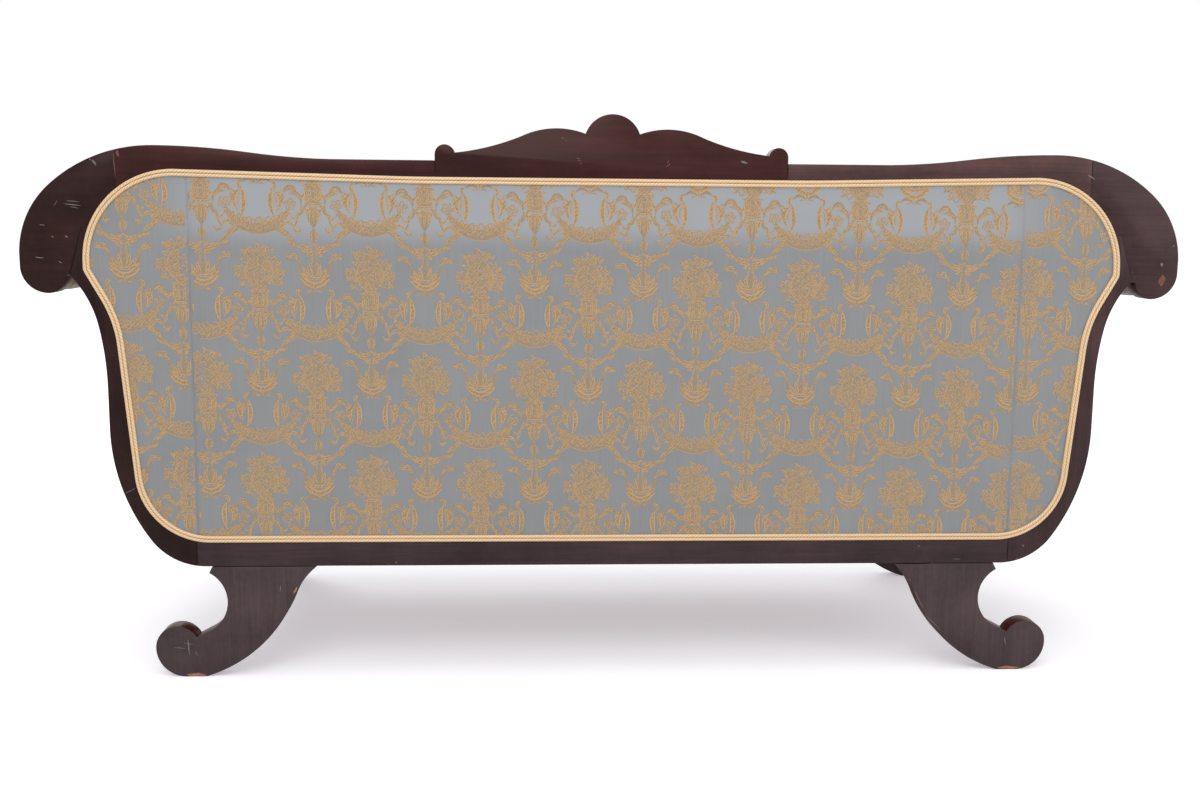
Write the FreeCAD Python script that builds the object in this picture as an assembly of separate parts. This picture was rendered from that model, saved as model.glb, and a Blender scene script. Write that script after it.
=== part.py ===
import FreeCAD, Part
import math
import os

# A scroll-armed settee (recamier) of the 1830s type, seen in the photograph from behind.
# Millimetres, +Z up. The front faces -Y, the origin lies on the floor under the middle,
# and "left" is the side towards +X.

V = FreeCAD.Vector

# Driving sizes of the whole
waist_width = 1666.0          # across the outer edges of the stiles, at their narrowest
depth = 630.0                 # back face of the back frame to front face of the front frame
leg_height = 194.0            # floor to the underside of the seat frame
rail_height = 96.0            # seat rails, underside to top
back_height = 875.5           # floor to the level stretch of the top rail
board = 34.0                  # thickness of every sawn frame board
glue_gap = 0.1                # all round a tongue or a stub tenon in its hole

# Back frame outline
scroll_lift = 19.5            # the scrolls' crown above the level stretch
level_half = 440.0            # half the level stretch of the top rail
scroll_back = 88.0            # scroll crown, inwards from the waist line
scroll_reach = 132.0          # outermost point of the scroll, outwards from the waist line
scroll_drop = 180.0           # scroll crown down to its outermost point
scroll_side_radius = 155.0
lobe_radius = 44.0            # the rounded end of the scroll
lobe_turn_radius = 28.0       # where the end turns in towards the notch
lobe_stem = 16.0              # short straight stretch above the rounded end
notch_out = 54.0              # notch, outwards from the waist line
notch_step = 3.0              # notch above the start of the scroll's turn
waist_share = 0.273           # straight part of the stile, of its height from oval to notch
flare_radius = 500.0
flare_share = 0.54            # of the height from the straight part to the notch
foot_curve_width = 150.0      # the quarter-oval corner under the stile
foot_curve_height = 236.0
foot_curve_radius = 110.0
scroll_joint_in = 27.0        # joint of top rail and scroll, inwards from the waist line
stile_top_out = 31.0          # outer corner of the stile's shoulder, outwards from the waist
rail_joint_in = 136.0         # joint of bottom rail and stile, inwards from the waist line

# Opening of the back frame
top_rail_height = 113.5       # below the level stretch
opening_foot_in = 83.0        # opening's lower corner, inwards from the waist line
opening_head_in = 53.0
opening_corner_radius = 60.0

# Cresting
crest_half = 291.5
knob_radius = 16.0
knob_rise = 10.0              # knob centre above the level stretch
knob_neck_in = 15.7           # where the knob meets the long hollow, from the knob's centre
knob_neck_rise = 2.8
crest_hollow_x = 205.0        # lowest point of the hollow beside the knob
crest_hollow_rise = 22.5
crest_shoulder_x = 150.0      # where the hollow turns into the swell
crest_shoulder_rise = 40.5
crest_swell_x = 92.0
crest_swell_rise = 53.8
disc_radius = 47.0
disc_rise = 30.5              # disc centre above the level stretch
disc_valley_angle = 18.6

# Inner members of the back
tuck_rail_rise = 110.0        # above the top of the bottom rail
tuck_rail_height = 40.0
inner_board = 28.0
muntin_x = 230.0
muntin_width = 60.0
stub_length = 15.0
stub_thickness = 14.0
stub_shoulder = 8.0
side_stub_foot = 26.0         # side rail's tenon, above the underside of the rail

# Arms
arm_top_in = 28.0             # where the front scroll leaves the oval, inwards from the waist
arm_cheek_in = 88.0
arm_cheek_drop = 65.0         # below the scroll's crown
arm_hollow_in = 66.0          # halfway from cheek to hip
arm_hip_in = 85.0
arm_hip_rise = 160.0          # above the seat frame
cover_inset = 8.0             # cloth, back from the edge of the boards
arm_pad_thickness = 12.0
arm_pad_crown = 8.0
arm_crown_end = 3.0           # level stretch of the pad beyond its gimp
arm_crown_reach = 24.0        # length of the slope from there to the full crown
outer_cover_thickness = 3.0
lath_thickness = 8.0
lath_width = 40.0
lath_pitch = 66.0
lath_margin = 8.0             # from the side rail, and from the ends of the curves
scroll_open = 190.0           # where the laths begin, along the scroll from its rounded end
hollow_sag = 1.6              # room for the cloth's hollow between two lath edges
former_thickness = 22.0
batten_width = 24.0           # batten in the scroll's rounded end
batten_height = 36.0
batten_out = 6.0              # its middle, outwards from the rounded end's centre
batten_drop = 14.0            # its underside below that centre
batten_let_in = 16.0          # how far it is let into the boards

# Seat frame
side_rail_in = 133.0          # inner face of the side rail, inwards from the waist
side_rail_thickness = 34.0
side_rail_lift = 10.0         # its underside above the underside of the frame
stretcher_x = 235.0
stretcher_width = 34.0
stretcher_height = 50.0
stretcher_lift = 6.0
corner_block_leg = 75.0
corner_block_height = 60.0
corner_block_lift = 20.0

# Legs, measured from the outer top corner of the leg
leg_in = 160.0                # that corner, inwards from the waist line
leg_top_length = 176.0
leg_throat = (22.0, 23.0)     # first point of the hollow, from the inner top corner
leg_throat_end = (39.0, 53.0)
leg_belly = (73.0, 49.0)      # inwards from the outer corner, and above the floor
foot_turn = (84.0, 14.5)      # outwards from the outer corner, and above the floor
leg_nose = 5.5
leg_nose_drop = 11.0
leg_hollow = 24.0
leg_heel_out = 7.0
leg_heel_z = 81.0
leg_notch_out = 30.0
leg_notch_z = 69.0
leg_scroll_top_out = 62.0
leg_scroll_top_z = 88.5
leg_scroll_out = 99.0
leg_scroll_z = 50.0
foot_flat_from = 15.0
foot_flat_to = 45.0
leg_joint_gap = 0.6           # dark line between leg and rail
leg_block_in = 60.0
leg_block_length = 80.0
leg_block_size = 32.0
leg_block_toe = 13.0

# Loose tongues in the joints of the boards
tongue_thickness = 10.0
tongue_depth = 25.0           # how far a tongue reaches into each board
tongue_wall = 1.5             # wood between a tongue and the stub tenons beside it
rail_tongue_height = 40.0
foot_tongue_height = 50.0
shoulder_tongue_width = 34.0
leg_tongue_in = 45.0
leg_tongue_width = 80.0

# Upholstery
cloth_line_drop = 26.5        # top edge of the back gimp below the level stretch
cloth_line_foot = 41.5        # lower edge of the back gimp above the underside
cloth_line_out = 31.0         # side of the back gimp by the scroll, out from the waist line
cloth_rise = 12.0             # how much the gimp climbs towards the scrolls
cloth_level_half = 330.0
cloth_corner_radius = 151.0
cloth_foot_in = 48.0
cloth_foot_radius = 123.0
cloth_waist_in = 15.0
cloth_waist_drop = 76.5       # below the notch
cloth_waist_radius = 190.0
cloth_shoulder_rise = 6.5     # above the notch
cloth_shoulder_radius = 18.0
cloth_climb_radius = 4000.0
rebate = 3.0
cloth_thickness = 2.4
gimp_width = 12.0
gimp_height = 2.6
gimp_start = 30.0             # foot of the gimp on the arm's outside, along the stile
gimp_seat_gap = 20.0          # from the seat's top edge to the gimp on the arm's inside
seam_in = 138.5               # cloth seams of the back, inwards from the waist line
web_width = 52.0
web_thickness = 1.5
web_gap = 0.3
web_hold = 22.0               # how far a strip lies on the rail that holds it
web_edge = 12.0               # from a rail to the strip beside it
web_flat = 1.0                # level part of a strip beyond the one that it crosses
web_long_count = 4
web_cross_count = 9
back_web_count = 9
back_web_pitch = 150.0
hessian_thickness = 1.0
seat_edge_height = 132.0      # seat cover, from the hessian to its top edge
seat_crown = 16.0
seat_crown_fall = 0.7         # how much of the crown is gone at the arms
seat_swell = 6.0
seat_front_inset = 8.0
seat_cover_wall = 14.0
seat_top_padding = 45.0
stuffing_crown = 0.5
back_pad_thickness = 42.0
back_pad_top_drop = 28.0      # top of the inside back pad below the level stretch
back_pad_corner = 70.0
back_pad_foot = 4.0           # its lower edge below the top of the tuck rail's foot
back_crown = 0.12             # further rise of the pad's middle, as a share of its thickness
back_crown_in = 70.0          # where that middle begins, from the pad's edge
back_gimp_start = 70.0        # how far the inner gimp comes down from the corner
pile = 0.1                    # between layers that lie on each other
clear = 0.3                   # between soft pieces and their neighbours

# Places worked out from the driving sizes
half = waist_width / 2
back_y = depth / 2
back_in = back_y - board
front_y = -depth / 2
front_in = front_y + board
frame_z = leg_height
deck_z = frame_z + rail_height
crown_z = back_height + scroll_lift
outermost_z = crown_z - scroll_drop
lobe_z = outermost_z - lobe_stem
lobe_x = half + scroll_reach - lobe_radius
turn_z = lobe_z - lobe_radius + lobe_turn_radius
notch = (half + notch_out, turn_z + notch_step)
oval_z = frame_z + foot_curve_height
waist_z = oval_z + (notch[1] - oval_z) * waist_share
flare_rise = (notch[1] - waist_z) * flare_share
top_rail_under = back_height - top_rail_height
arm_cheek_z = crown_z - arm_cheek_drop
arm_hip_z = deck_z + arm_hip_rise
arm_hollow_z = (arm_cheek_z + arm_hip_z) / 2
tuck_z = deck_z + tuck_rail_rise
mid_board_y = back_y - board / 2
gimp_proud = cloth_thickness + gimp_height - rebate
far = 3000.0


class Curve:
    """A chain of straight and round stretches in the X-Z plane. Left of its run is inside."""

    def __init__(self, x, z):
        self.parts = []
        self.tip = (x, z)
        self.heading = (1.0, 0.0)

    def line(self, x, z):
        x0, z0 = self.tip
        run = math.hypot(x - x0, z - z0)
        if run > 1e-6:
            self.parts.append(("line", (x0, z0), (x, z)))
            self.heading = ((x - x0) / run, (z - z0) / run)
            self.tip = (x, z)
        return self

    def arc(self, cx, cz, radius, start, stop):
        a0, a1 = math.radians(start), math.radians(stop)
        self.line(cx + radius * math.cos(a0), cz + radius * math.sin(a0))
        self._add_arc(cx, cz, radius, a0, a1)
        return self

    def _add_arc(self, cx, cz, radius, a0, a1):
        self.parts.append(("arc", (cx, cz), radius, a0, a1))
        side = 1.0 if a1 > a0 else -1.0
        self.heading = (-side * math.sin(a1), side * math.cos(a1))
        self.tip = (cx + radius * math.cos(a1), cz + radius * math.sin(a1))

    def sweep(self, x, z):
        """One arc to the point, tangent to the stretch before it."""
        x0, z0 = self.tip
        hx, hz = self.heading
        dx, dz = x - x0, z - z0
        chord = math.hypot(dx, dz)
        side = (hx * dz - hz * dx) / chord
        if abs(side) < 1e-6:
            return self.line(x, z)
        radius = chord / 2 / side
        cx, cz = x0 - hz * radius, z0 + hx * radius
        a0 = math.atan2(z0 - cz, x0 - cx)
        a1 = math.atan2(z - cz, x - cx)
        if side > 0 and a1 < a0:
            a1 += 2 * math.pi
        if side < 0 and a1 > a0:
            a1 -= 2 * math.pi
        self._add_arc(cx, cz, abs(radius), a0, a1)
        return self

    def bow(self, xm, zm, x, z):
        """One arc through a middle point."""
        x0, z0 = self.tip
        d = 2 * (x0 * (zm - z) + xm * (z - z0) + x * (z0 - zm))
        q0, qm, q = x0 ** 2 + z0 ** 2, xm ** 2 + zm ** 2, x ** 2 + z ** 2
        cx = (q0 * (zm - z) + qm * (z - z0) + q * (z0 - zm)) / d
        cz = (q0 * (x - xm) + qm * (x0 - x) + q * (xm - x0)) / d
        a0 = math.atan2(z0 - cz, x0 - cx)
        a1 = math.atan2(z - cz, x - cx)
        if d > 0 and a1 < a0:
            a1 += 2 * math.pi
        if d < 0 and a1 > a0:
            a1 -= 2 * math.pi
        self._add_arc(cx, cz, math.hypot(x0 - cx, z0 - cz), a0, a1)
        return self

    def join(self, other):
        start = other.start()
        self.line(*start)
        self.parts += other.parts
        self.tip, self.heading = other.tip, other.heading
        return self

    def start(self):
        first = self.parts[0]
        if first[0] == "line":
            return first[1]
        _, (cx, cz), radius, a0, _ = first
        return cx + radius * math.cos(a0), cz + radius * math.sin(a0)

    def inset(self, gap):
        """The same chain, moved to its left by the gap. Its stretches are tangent."""
        moved = None
        for part in self.parts:
            if part[0] == "line":
                (x0, z0), (x1, z1) = part[1], part[2]
                run = math.hypot(x1 - x0, z1 - z0)
                nx, nz = -(z1 - z0) / run * gap, (x1 - x0) / run * gap
                moved = moved or Curve(x0 + nx, z0 + nz)
                moved.line(x0 + nx, z0 + nz)
                moved.line(x1 + nx, z1 + nz)
            else:
                _, (cx, cz), radius, a0, a1 = part
                new = radius - gap if a1 > a0 else radius + gap
                sx, sz = cx + new * math.cos(a0), cz + new * math.sin(a0)
                moved = moved or Curve(sx, sz)
                moved.line(sx, sz)
                moved._add_arc(cx, cz, new, a0, a1)
        return moved

    def backwards(self):
        turned = Curve(*self.tip)
        for part in reversed(self.parts):
            if part[0] == "line":
                turned.line(*part[1])
            else:
                turned._add_arc(part[1][0], part[1][1], part[2], part[4], part[3])
        return turned

    def mirrored(self):
        """The chain on the other side of X = 0, run backwards so that left stays inside."""
        flipped = Curve(-self.tip[0], self.tip[1])
        for part in reversed(self.parts):
            if part[0] == "line":
                flipped.line(-part[1][0], part[1][1])
            else:
                _, (cx, cz), radius, a0, a1 = part
                flipped._add_arc(-cx, cz, radius, math.pi - a1, math.pi - a0)
        return flipped

    def at(self, distance):
        """Point and heading at a distance along the chain."""
        left = distance
        for part in self.parts:
            if part[0] == "line":
                (x0, z0), (x1, z1) = part[1], part[2]
                run = math.hypot(x1 - x0, z1 - z0)
                if left <= run:
                    hx, hz = (x1 - x0) / run, (z1 - z0) / run
                    return (x0 + hx * left, z0 + hz * left), (hx, hz)
            else:
                _, (cx, cz), radius, a0, a1 = part
                run = radius * abs(a1 - a0)
                if left <= run:
                    side = 1.0 if a1 > a0 else -1.0
                    a = a0 + side * left / radius
                    point = (cx + radius * math.cos(a), cz + radius * math.sin(a))
                    return point, (-side * math.sin(a), side * math.cos(a))
            left -= run
        return self.tip, self.heading

    def between(self, first, last):
        """The stretch of the chain between two distances along it."""
        cut, gone = None, 0.0
        for part in self.parts:
            if part[0] == "line":
                run = math.hypot(part[2][0] - part[1][0], part[2][1] - part[1][1])
            else:
                run = part[2] * abs(part[4] - part[3])
            lo, hi = max(first - gone, 0.0), min(last - gone, run)
            if hi - lo > 1e-6:
                if part[0] == "line":
                    (x0, z0), (x1, z1) = part[1], part[2]
                    hx, hz = (x1 - x0) / run, (z1 - z0) / run
                    cut = cut or Curve(x0 + hx * lo, z0 + hz * lo)
                    cut.line(x0 + hx * hi, z0 + hz * hi)
                else:
                    _, (cx, cz), radius, a0, a1 = part
                    b0, b1 = a0 + (a1 - a0) * lo / run, a0 + (a1 - a0) * hi / run
                    cut = cut or Curve(cx + radius * math.cos(b0), cz + radius * math.sin(b0))
                    cut._add_arc(cx, cz, radius, b0, b1)
            gone += run
        return cut

    def length(self):
        total = 0.0
        for part in self.parts:
            if part[0] == "line":
                total += math.hypot(part[2][0] - part[1][0], part[2][1] - part[1][1])
            else:
                total += part[2] * abs(part[4] - part[3])
        return total

    def middles(self):
        points = []
        for part in self.parts:
            if part[0] == "line":
                points.append(((part[1][0] + part[2][0]) / 2, (part[1][1] + part[2][1]) / 2))
            else:
                _, (cx, cz), radius, a0, a1 = part
                a = (a0 + a1) / 2
                points.append((cx + radius * math.cos(a), cz + radius * math.sin(a)))
        return points

    def closed_wire(self, y):
        """Closed with a straight stretch from the tip to the start."""
        loop = Curve(*self.start())
        loop.parts = list(self.parts)
        loop.tip = self.tip
        loop.line(*self.start())
        edges = []
        for part in loop.parts:
            if part[0] == "line":
                edges.append(Part.makeLine(V(part[1][0], y, part[1][1]), V(part[2][0], y, part[2][1])))
            else:
                _, (cx, cz), radius, a0, a1 = part
                spots = [V(cx + radius * math.cos(a), y, cz + radius * math.sin(a))
                         for a in (a0, (a0 + a1) / 2, a1)]
                edges.append(Part.Arc(*spots).toShape())
        return Part.Wire(edges)


def rounded(corners):
    """A chain through corners given as (x, z, radius), with each corner rounded."""
    chain = Curve(corners[0][0], corners[0][1])
    for before, (x, z, radius), after in zip(corners, corners[1:], corners[2:]):
        d0 = math.hypot(before[0] - x, before[1] - z)
        d1 = math.hypot(after[0] - x, after[1] - z)
        ux, uz = (before[0] - x) / d0, (before[1] - z) / d0
        wx, wz = (after[0] - x) / d1, (after[1] - z) / d1
        half_angle = math.acos(max(-1.0, min(1.0, ux * wx + uz * wz))) / 2
        cut = radius / math.tan(half_angle) if radius else 0.0
        chain.line(x + ux * cut, z + uz * cut)
        if cut:
            chain.sweep(x + wx * cut, z + wz * cut)
    return chain.line(corners[-1][0], corners[-1][1])


def plate(chain, y0, y1):
    return Part.Face(chain.closed_wire(y0)).extrude(V(0, y1 - y0, 0))


def box(x0, x1, y0, y1, z0, z1):
    return Part.makeBox(x1 - x0, y1 - y0, z1 - z0, V(x0, y0, z0))


def mirror(shape):
    return shape.mirror(V(0, 0, 0), V(1, 0, 0))


def turned_round(shape):
    """The same piece on the front frame: front and back change places."""
    return shape.mirror(V(0, 0, 0), V(0, 1, 0))


def polygon(points):
    chain = Curve(*points[0])
    for x, z in points[1:]:
        chain.line(x, z)
    return chain


def both(name, shape):
    save(name + "_left", shape)
    save(name + "_right", mirror(shape))


def save(name, shape):
    """One node, moved by half of what the back gimp stands proud, so that the depth is centred."""
    if isinstance(shape, (list, tuple)):
        shape = Part.makeCompound(list(shape))
    shape = shape.translated(V(0, -gimp_proud / 2, 0))
    shape.exportStep("parts/" + name + ".step")
    bad = [s for s in shape.Solids if not s.isValid()]
    print("%-24s %3d solids %9.1f cm3%s"
          % (name, len(shape.Solids), shape.Volume / 1000, "  INVALID" if bad else ""))


# Outline chains of the half towards +X, run so that the wood is on their left

def foot_and_stile(start_x):
    """Underside, oval corner, stile and flare, up to the notch."""
    low = foot_curve_radius
    wide, tall = foot_curve_width, foot_curve_height
    side = (tall ** 2 + wide ** 2 - 2 * tall * low) / (2 * (wide - low))
    turn = -math.degrees(math.atan2(tall - low, side - wide))
    lead = math.degrees(math.asin(max(start_x - half + wide, 0.0) / low))
    chain = Curve(start_x, frame_z + low * (1 - math.cos(math.radians(lead))))
    chain.arc(half - wide, frame_z + low, low, lead - 90.0, turn)
    chain.arc(half - side, oval_z, side, turn, 0.0)
    chain.line(half, waist_z)
    lean = math.degrees(math.asin(flare_rise / flare_radius))
    chain.arc(half + flare_radius, waist_z, flare_radius, 180.0, 180.0 - lean)
    return chain.sweep(*notch)


def scroll(top_angle):
    """Rounded end of the scroll and the oval over its crown, as far as the given angle."""
    wide = scroll_reach + scroll_back
    small = scroll_side_radius
    big = (wide ** 2 + scroll_drop ** 2 - 2 * wide * small) / (2 * (scroll_drop - small))
    side_x, top_x, top_z = half + scroll_reach - small, half - scroll_back, crown_z - big
    turn = math.degrees(math.atan2(outermost_z - top_z, side_x - top_x))
    chain = Curve(lobe_x - lobe_turn_radius, turn_z)
    chain.arc(lobe_x, turn_z, lobe_turn_radius, 180.0, 270.0)
    chain.arc(lobe_x, lobe_z, lobe_radius, -90.0, 0.0)
    chain.line(half + scroll_reach, outermost_z)
    chain.arc(side_x, outermost_z, small, 0.0, turn)
    return chain.arc(top_x, top_z, big, turn, top_angle(top_x, big))


def leaving_angle(top_x, big):
    """Where the arm's inside leaves the oval over the scroll."""
    return math.degrees(math.acos((half - arm_top_in - top_x) / big))


def arm_run():
    """The arm's section from the rounded end over the top and down inside to the seat."""
    chain = scroll(leaving_angle)
    chain.sweep(half - arm_cheek_in, arm_cheek_z)
    chain.sweep(half - arm_hollow_in, arm_hollow_z)
    chain.sweep(half - arm_hip_in, arm_hip_z)
    hx, hz = chain.heading
    foot = deck_z + cover_inset + arm_pad_thickness / 2
    return chain.line(chain.tip[0] + hx * (foot - arm_hip_z) / hz, foot)


def back_outline():
    chain = foot_and_stile(crest_half)
    chain.join(scroll(lambda top_x, big: 90.0))
    mid_x = (half - scroll_back + level_half) / 2
    chain.sweep(mid_x, back_height + scroll_lift / 2)
    chain.sweep(level_half, back_height)
    return chain.line(crest_half, back_height)


def cloth_line():
    """Outer edge of the gimp on the back: a rounded figure with a waist."""
    top = back_height - cloth_line_drop
    foot = frame_z + cloth_line_foot
    side = half + cloth_line_out
    return rounded([
        (0, foot, 0),
        (half - cloth_foot_in, foot, cloth_foot_radius),
        (half - cloth_waist_in, notch[1] - cloth_waist_drop, cloth_waist_radius),
        (side, notch[1] + cloth_shoulder_rise, cloth_shoulder_radius),
        (side, top + cloth_rise, cloth_corner_radius),
        (cloth_level_half, top, cloth_climb_radius),
        (0, top, 0)])


def whole(chain):
    """A half chain that starts and ends at X = 0, with its other half."""
    return Curve(*chain.start()).join(chain).join(chain.mirrored())


opening_run = rounded([
    (0, deck_z, 0),
    (half - opening_foot_in, deck_z, opening_corner_radius),
    (half - opening_head_in, top_rail_under, 0),
    (0, top_rail_under, 0)])
opening = plate(whole(opening_run), back_in - 1, back_y + 1)
cloth_run = whole(cloth_line())
rebate_cut = plate(cloth_run, back_y - rebate, back_y + 1)
stile_run = foot_and_stile(half - side_rail_in)
arm_line = arm_run()
scroll_length = scroll(leaving_angle).length()
outer_stack = cover_inset + outer_cover_thickness
pad_inner = cover_inset + arm_pad_thickness


def arm_x(z):
    """Inner edge of the arm at a height near the seat."""
    (hip_x, hip_z), (foot_x, foot_z) = arm_line.parts[-1][1], arm_line.parts[-1][2]
    return foot_x + (z - foot_z) * (hip_x - foot_x) / (hip_z - foot_z)


joint_x = half - scroll_joint_in
foot_joint_x = half - rail_joint_in
shoulder_mid = (joint_x + half + stile_top_out) / 2
mid_rail_z = (top_rail_under + back_height) / 2
leg_corner_x = half - leg_in
tongue_y = back_in + stub_length + tongue_wall
tuck_mid_y = back_in + inner_board / 2
side_rail_x0 = half - side_rail_in
side_rail_x1 = side_rail_x0 + side_rail_thickness


def across(x, z, height):
    """Lengths and heights of a tongue through an upright joint."""
    return x - tongue_depth, x + tongue_depth, z - height / 2, z + height / 2


crest_tongues = [across(crest_half, mid_rail_z, rail_tongue_height)]
scroll_tongues = [across(joint_x, mid_rail_z, rail_tongue_height)]
foot_tongues = [across(foot_joint_x, frame_z + rail_height / 2, foot_tongue_height)]
shoulder_tongues = [(shoulder_mid - shoulder_tongue_width / 2, shoulder_mid + shoulder_tongue_width / 2,
                     top_rail_under - tongue_depth, top_rail_under + tongue_depth)]
leg_tongues = [(leg_corner_x - leg_tongue_in - leg_tongue_width, leg_corner_x - leg_tongue_in,
                frame_z - tongue_depth, frame_z + tongue_depth)]


def tongues(spots, size=0.0):
    return [box(x0 - size, x1 + size, tongue_y - size, tongue_y + tongue_thickness + size,
                z0 - size, z1 + size) for x0, x1, z0, z1 in spots]


def bored(shape, tools):
    for tool in tools:
        shape = shape.cut(tool)
    return shape


def scroll_region(inner_x):
    """The part of a side frame that is sawn from the scroll's own board."""
    return plate(polygon([(inner_x, far), (inner_x, top_rail_under),
                          (half + stile_top_out, top_rail_under), notch,
                          (notch[0], waist_z), (far, waist_z),
                          (far, far)]), -far, far)


def stub(x0, x1, y0, y1, z0, z1, size=0.0):
    return box(x0 - size, x1 + size, y0 - size, y1 + size, z0 - size, z1 + size)


def tuck_stub(size=0.0):
    end = half - opening_head_in + stub_length
    return stub(-end, end, tuck_mid_y - stub_thickness / 2, tuck_mid_y + stub_thickness / 2,
                tuck_z + stub_shoulder, tuck_z + tuck_rail_height - stub_shoulder, size)


def muntin_stub(size=0.0):
    wide = muntin_width / 2 - stub_shoulder
    return stub(muntin_x - wide, muntin_x + wide,
                tuck_mid_y - stub_thickness / 2, tuck_mid_y + stub_thickness / 2,
                tuck_z + tuck_rail_height - stub_length, top_rail_under + stub_length, size)


def side_rail_stub(size=0.0):
    end = back_in + stub_length
    return stub(side_rail_x0 + stub_shoulder, side_rail_x1 - stub_shoulder, -end, end,
                frame_z + side_rail_lift + side_stub_foot, deck_z - stub_shoulder, size)


def stretcher_stub(size=0.0):
    end = back_in + stub_length
    z0 = frame_z + stretcher_lift
    return stub(stretcher_x - stretcher_width / 2 + stub_shoulder,
                stretcher_x + stretcher_width / 2 - stub_shoulder, -end, end,
                z0 + stub_shoulder, z0 + stretcher_height - stub_shoulder, size)


def scroll_batten(size=0.0):
    """The end of the arm's cloth is nailed to it. It is let into both boards."""
    end = back_in + batten_let_in
    x, z = lobe_x + batten_out, lobe_z - batten_drop
    return stub(x - batten_width / 2, x + batten_width / 2, -end, end, z, z + batten_height, size)


def side_boards():
    """Both sides of the back frame: top rail, scroll and stile, sawn from one outline."""
    blank = plate(back_outline(), back_in, back_y).cut(opening).cut(rebate_cut)
    joints = crest_tongues + scroll_tongues + shoulder_tongues + foot_tongues
    blank = bored(blank, tongues(joints, glue_gap)
                  + [tuck_stub(glue_gap), side_rail_stub(glue_gap), scroll_batten(glue_gap)])
    region = scroll_region(joint_x)
    rest = blank.cut(region)
    both("top_rail", rest.common(box(crest_half, joint_x, -far, far, top_rail_under, far)))
    both("back_scroll", blank.common(region))
    both("back_stile", rest.common(box(foot_joint_x, far, -far, far, 0, top_rail_under)))


def cresting():
    level = back_height
    knob_x = crest_half - knob_radius
    disc_z = level + disc_rise
    valley = math.radians(disc_valley_angle)
    valley_x, valley_z = disc_radius * math.cos(valley), disc_z + disc_radius * math.sin(valley)
    run = Curve(0, top_rail_under).line(crest_half, top_rail_under)
    run.line(crest_half, level + knob_rise)
    run.sweep(knob_x, level + knob_rise + knob_radius)
    run.sweep(knob_x - knob_neck_in, level + knob_rise + knob_neck_rise)
    run.bow(crest_hollow_x, level + crest_hollow_rise, crest_shoulder_x, level + crest_shoulder_rise)
    run.bow(crest_swell_x, level + crest_swell_rise, valley_x, valley_z)
    run.arc(0, disc_z, disc_radius, disc_valley_angle, 90.0)
    piece = plate(whole(run), back_in, back_y).cut(rebate_cut)
    cuts = tongues(crest_tongues, glue_gap) + [muntin_stub(glue_gap)]
    save("cresting_board", bored(piece, cuts + [mirror(c) for c in cuts]))


def seat_rail_outline():
    """Bottom rail of a frame, with the first of the oval corner at each end."""
    low = foot_curve_radius
    rise = math.degrees(math.asin((foot_joint_x - half + foot_curve_width) / low))
    run = Curve(0, frame_z).line(half - foot_curve_width, frame_z)
    run.arc(half - foot_curve_width, frame_z + low, low, -90.0, -90.0 + rise)
    return run.line(foot_joint_x, deck_z).line(0, deck_z)


def bottom_rails():
    rail = plate(whole(seat_rail_outline()), back_in, back_y)
    cuts = tongues(foot_tongues + leg_tongues, glue_gap) + [stretcher_stub(glue_gap)]
    rail = bored(rail, cuts + [mirror(c) for c in cuts])
    save("back_bottom_rail", rail.cut(rebate_cut))
    save("front_seat_rail", turned_round(rail))


def inner_back_members():
    rail = box(-far, far, back_in, back_in + inner_board, tuck_z, tuck_z + tuck_rail_height)
    rail = rail.common(opening).fuse(tuck_stub())
    rail = bored(rail, [muntin_stub(glue_gap), mirror(muntin_stub(glue_gap))])
    save("tuck_rail", rail)
    muntin = box(muntin_x - muntin_width / 2, muntin_x + muntin_width / 2,
                 back_in, back_in + inner_board, tuck_z + tuck_rail_height, top_rail_under)
    both("back_muntin", muntin.fuse(muntin_stub()))


def front_boards():
    """Arm facings: the same foot, stile and scroll, closed along the inside of the arm."""
    run = foot_and_stile(foot_joint_x).join(arm_line)
    run.line(arm_x(deck_z), deck_z).line(foot_joint_x, deck_z)
    blank = plate(run, front_y, front_in)
    cuts = [turned_round(t) for t in tongues(foot_tongues + shoulder_tongues, glue_gap)]
    blank = bored(blank, cuts + [side_rail_stub(glue_gap), scroll_batten(glue_gap)])
    region = scroll_region(0.0)
    both("front_scroll", blank.common(region))
    both("front_stile", blank.cut(region))


def loose_tongues():
    back = tongues(crest_tongues + scroll_tongues + shoulder_tongues + foot_tongues)
    save("back_frame_tongues", back + [mirror(t) for t in back])
    front = [turned_round(t) for t in tongues(foot_tongues + shoulder_tongues)]
    save("front_frame_tongues", front + [mirror(t) for t in front])
    legs = tongues(leg_tongues)
    legs += [turned_round(t) for t in legs]
    save("leg_tongues", legs + [mirror(t) for t in legs])


def seat_frame():
    inner_side = stile_run.inset(outer_stack + lath_thickness + clear)
    bowl = plate(Curve(0, frame_z).join(inner_side).line(0, notch[1]), -far, far)
    rail = box(side_rail_x0, side_rail_x1, front_in, back_in, frame_z + side_rail_lift, deck_z)
    both("side_rail", rail.common(bowl).fuse(side_rail_stub()))
    z0 = frame_z + stretcher_lift
    bar = box(stretcher_x - stretcher_width / 2, stretcher_x + stretcher_width / 2,
              front_in, back_in, z0, z0 + stretcher_height)
    both("seat_stretcher", bar.fuse(stretcher_stub()))
    x, y, z = side_rail_x0, back_in, frame_z + corner_block_lift
    wire = Part.makePolygon([V(x, y, z), V(x - corner_block_leg, y, z),
                             V(x, y - corner_block_leg, z), V(x, y, z)])
    block = Part.Face(wire).extrude(V(0, 0, corner_block_height))
    blocks = [block, turned_round(block)]
    save("corner_blocks", blocks + [mirror(b) for b in blocks])


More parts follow.
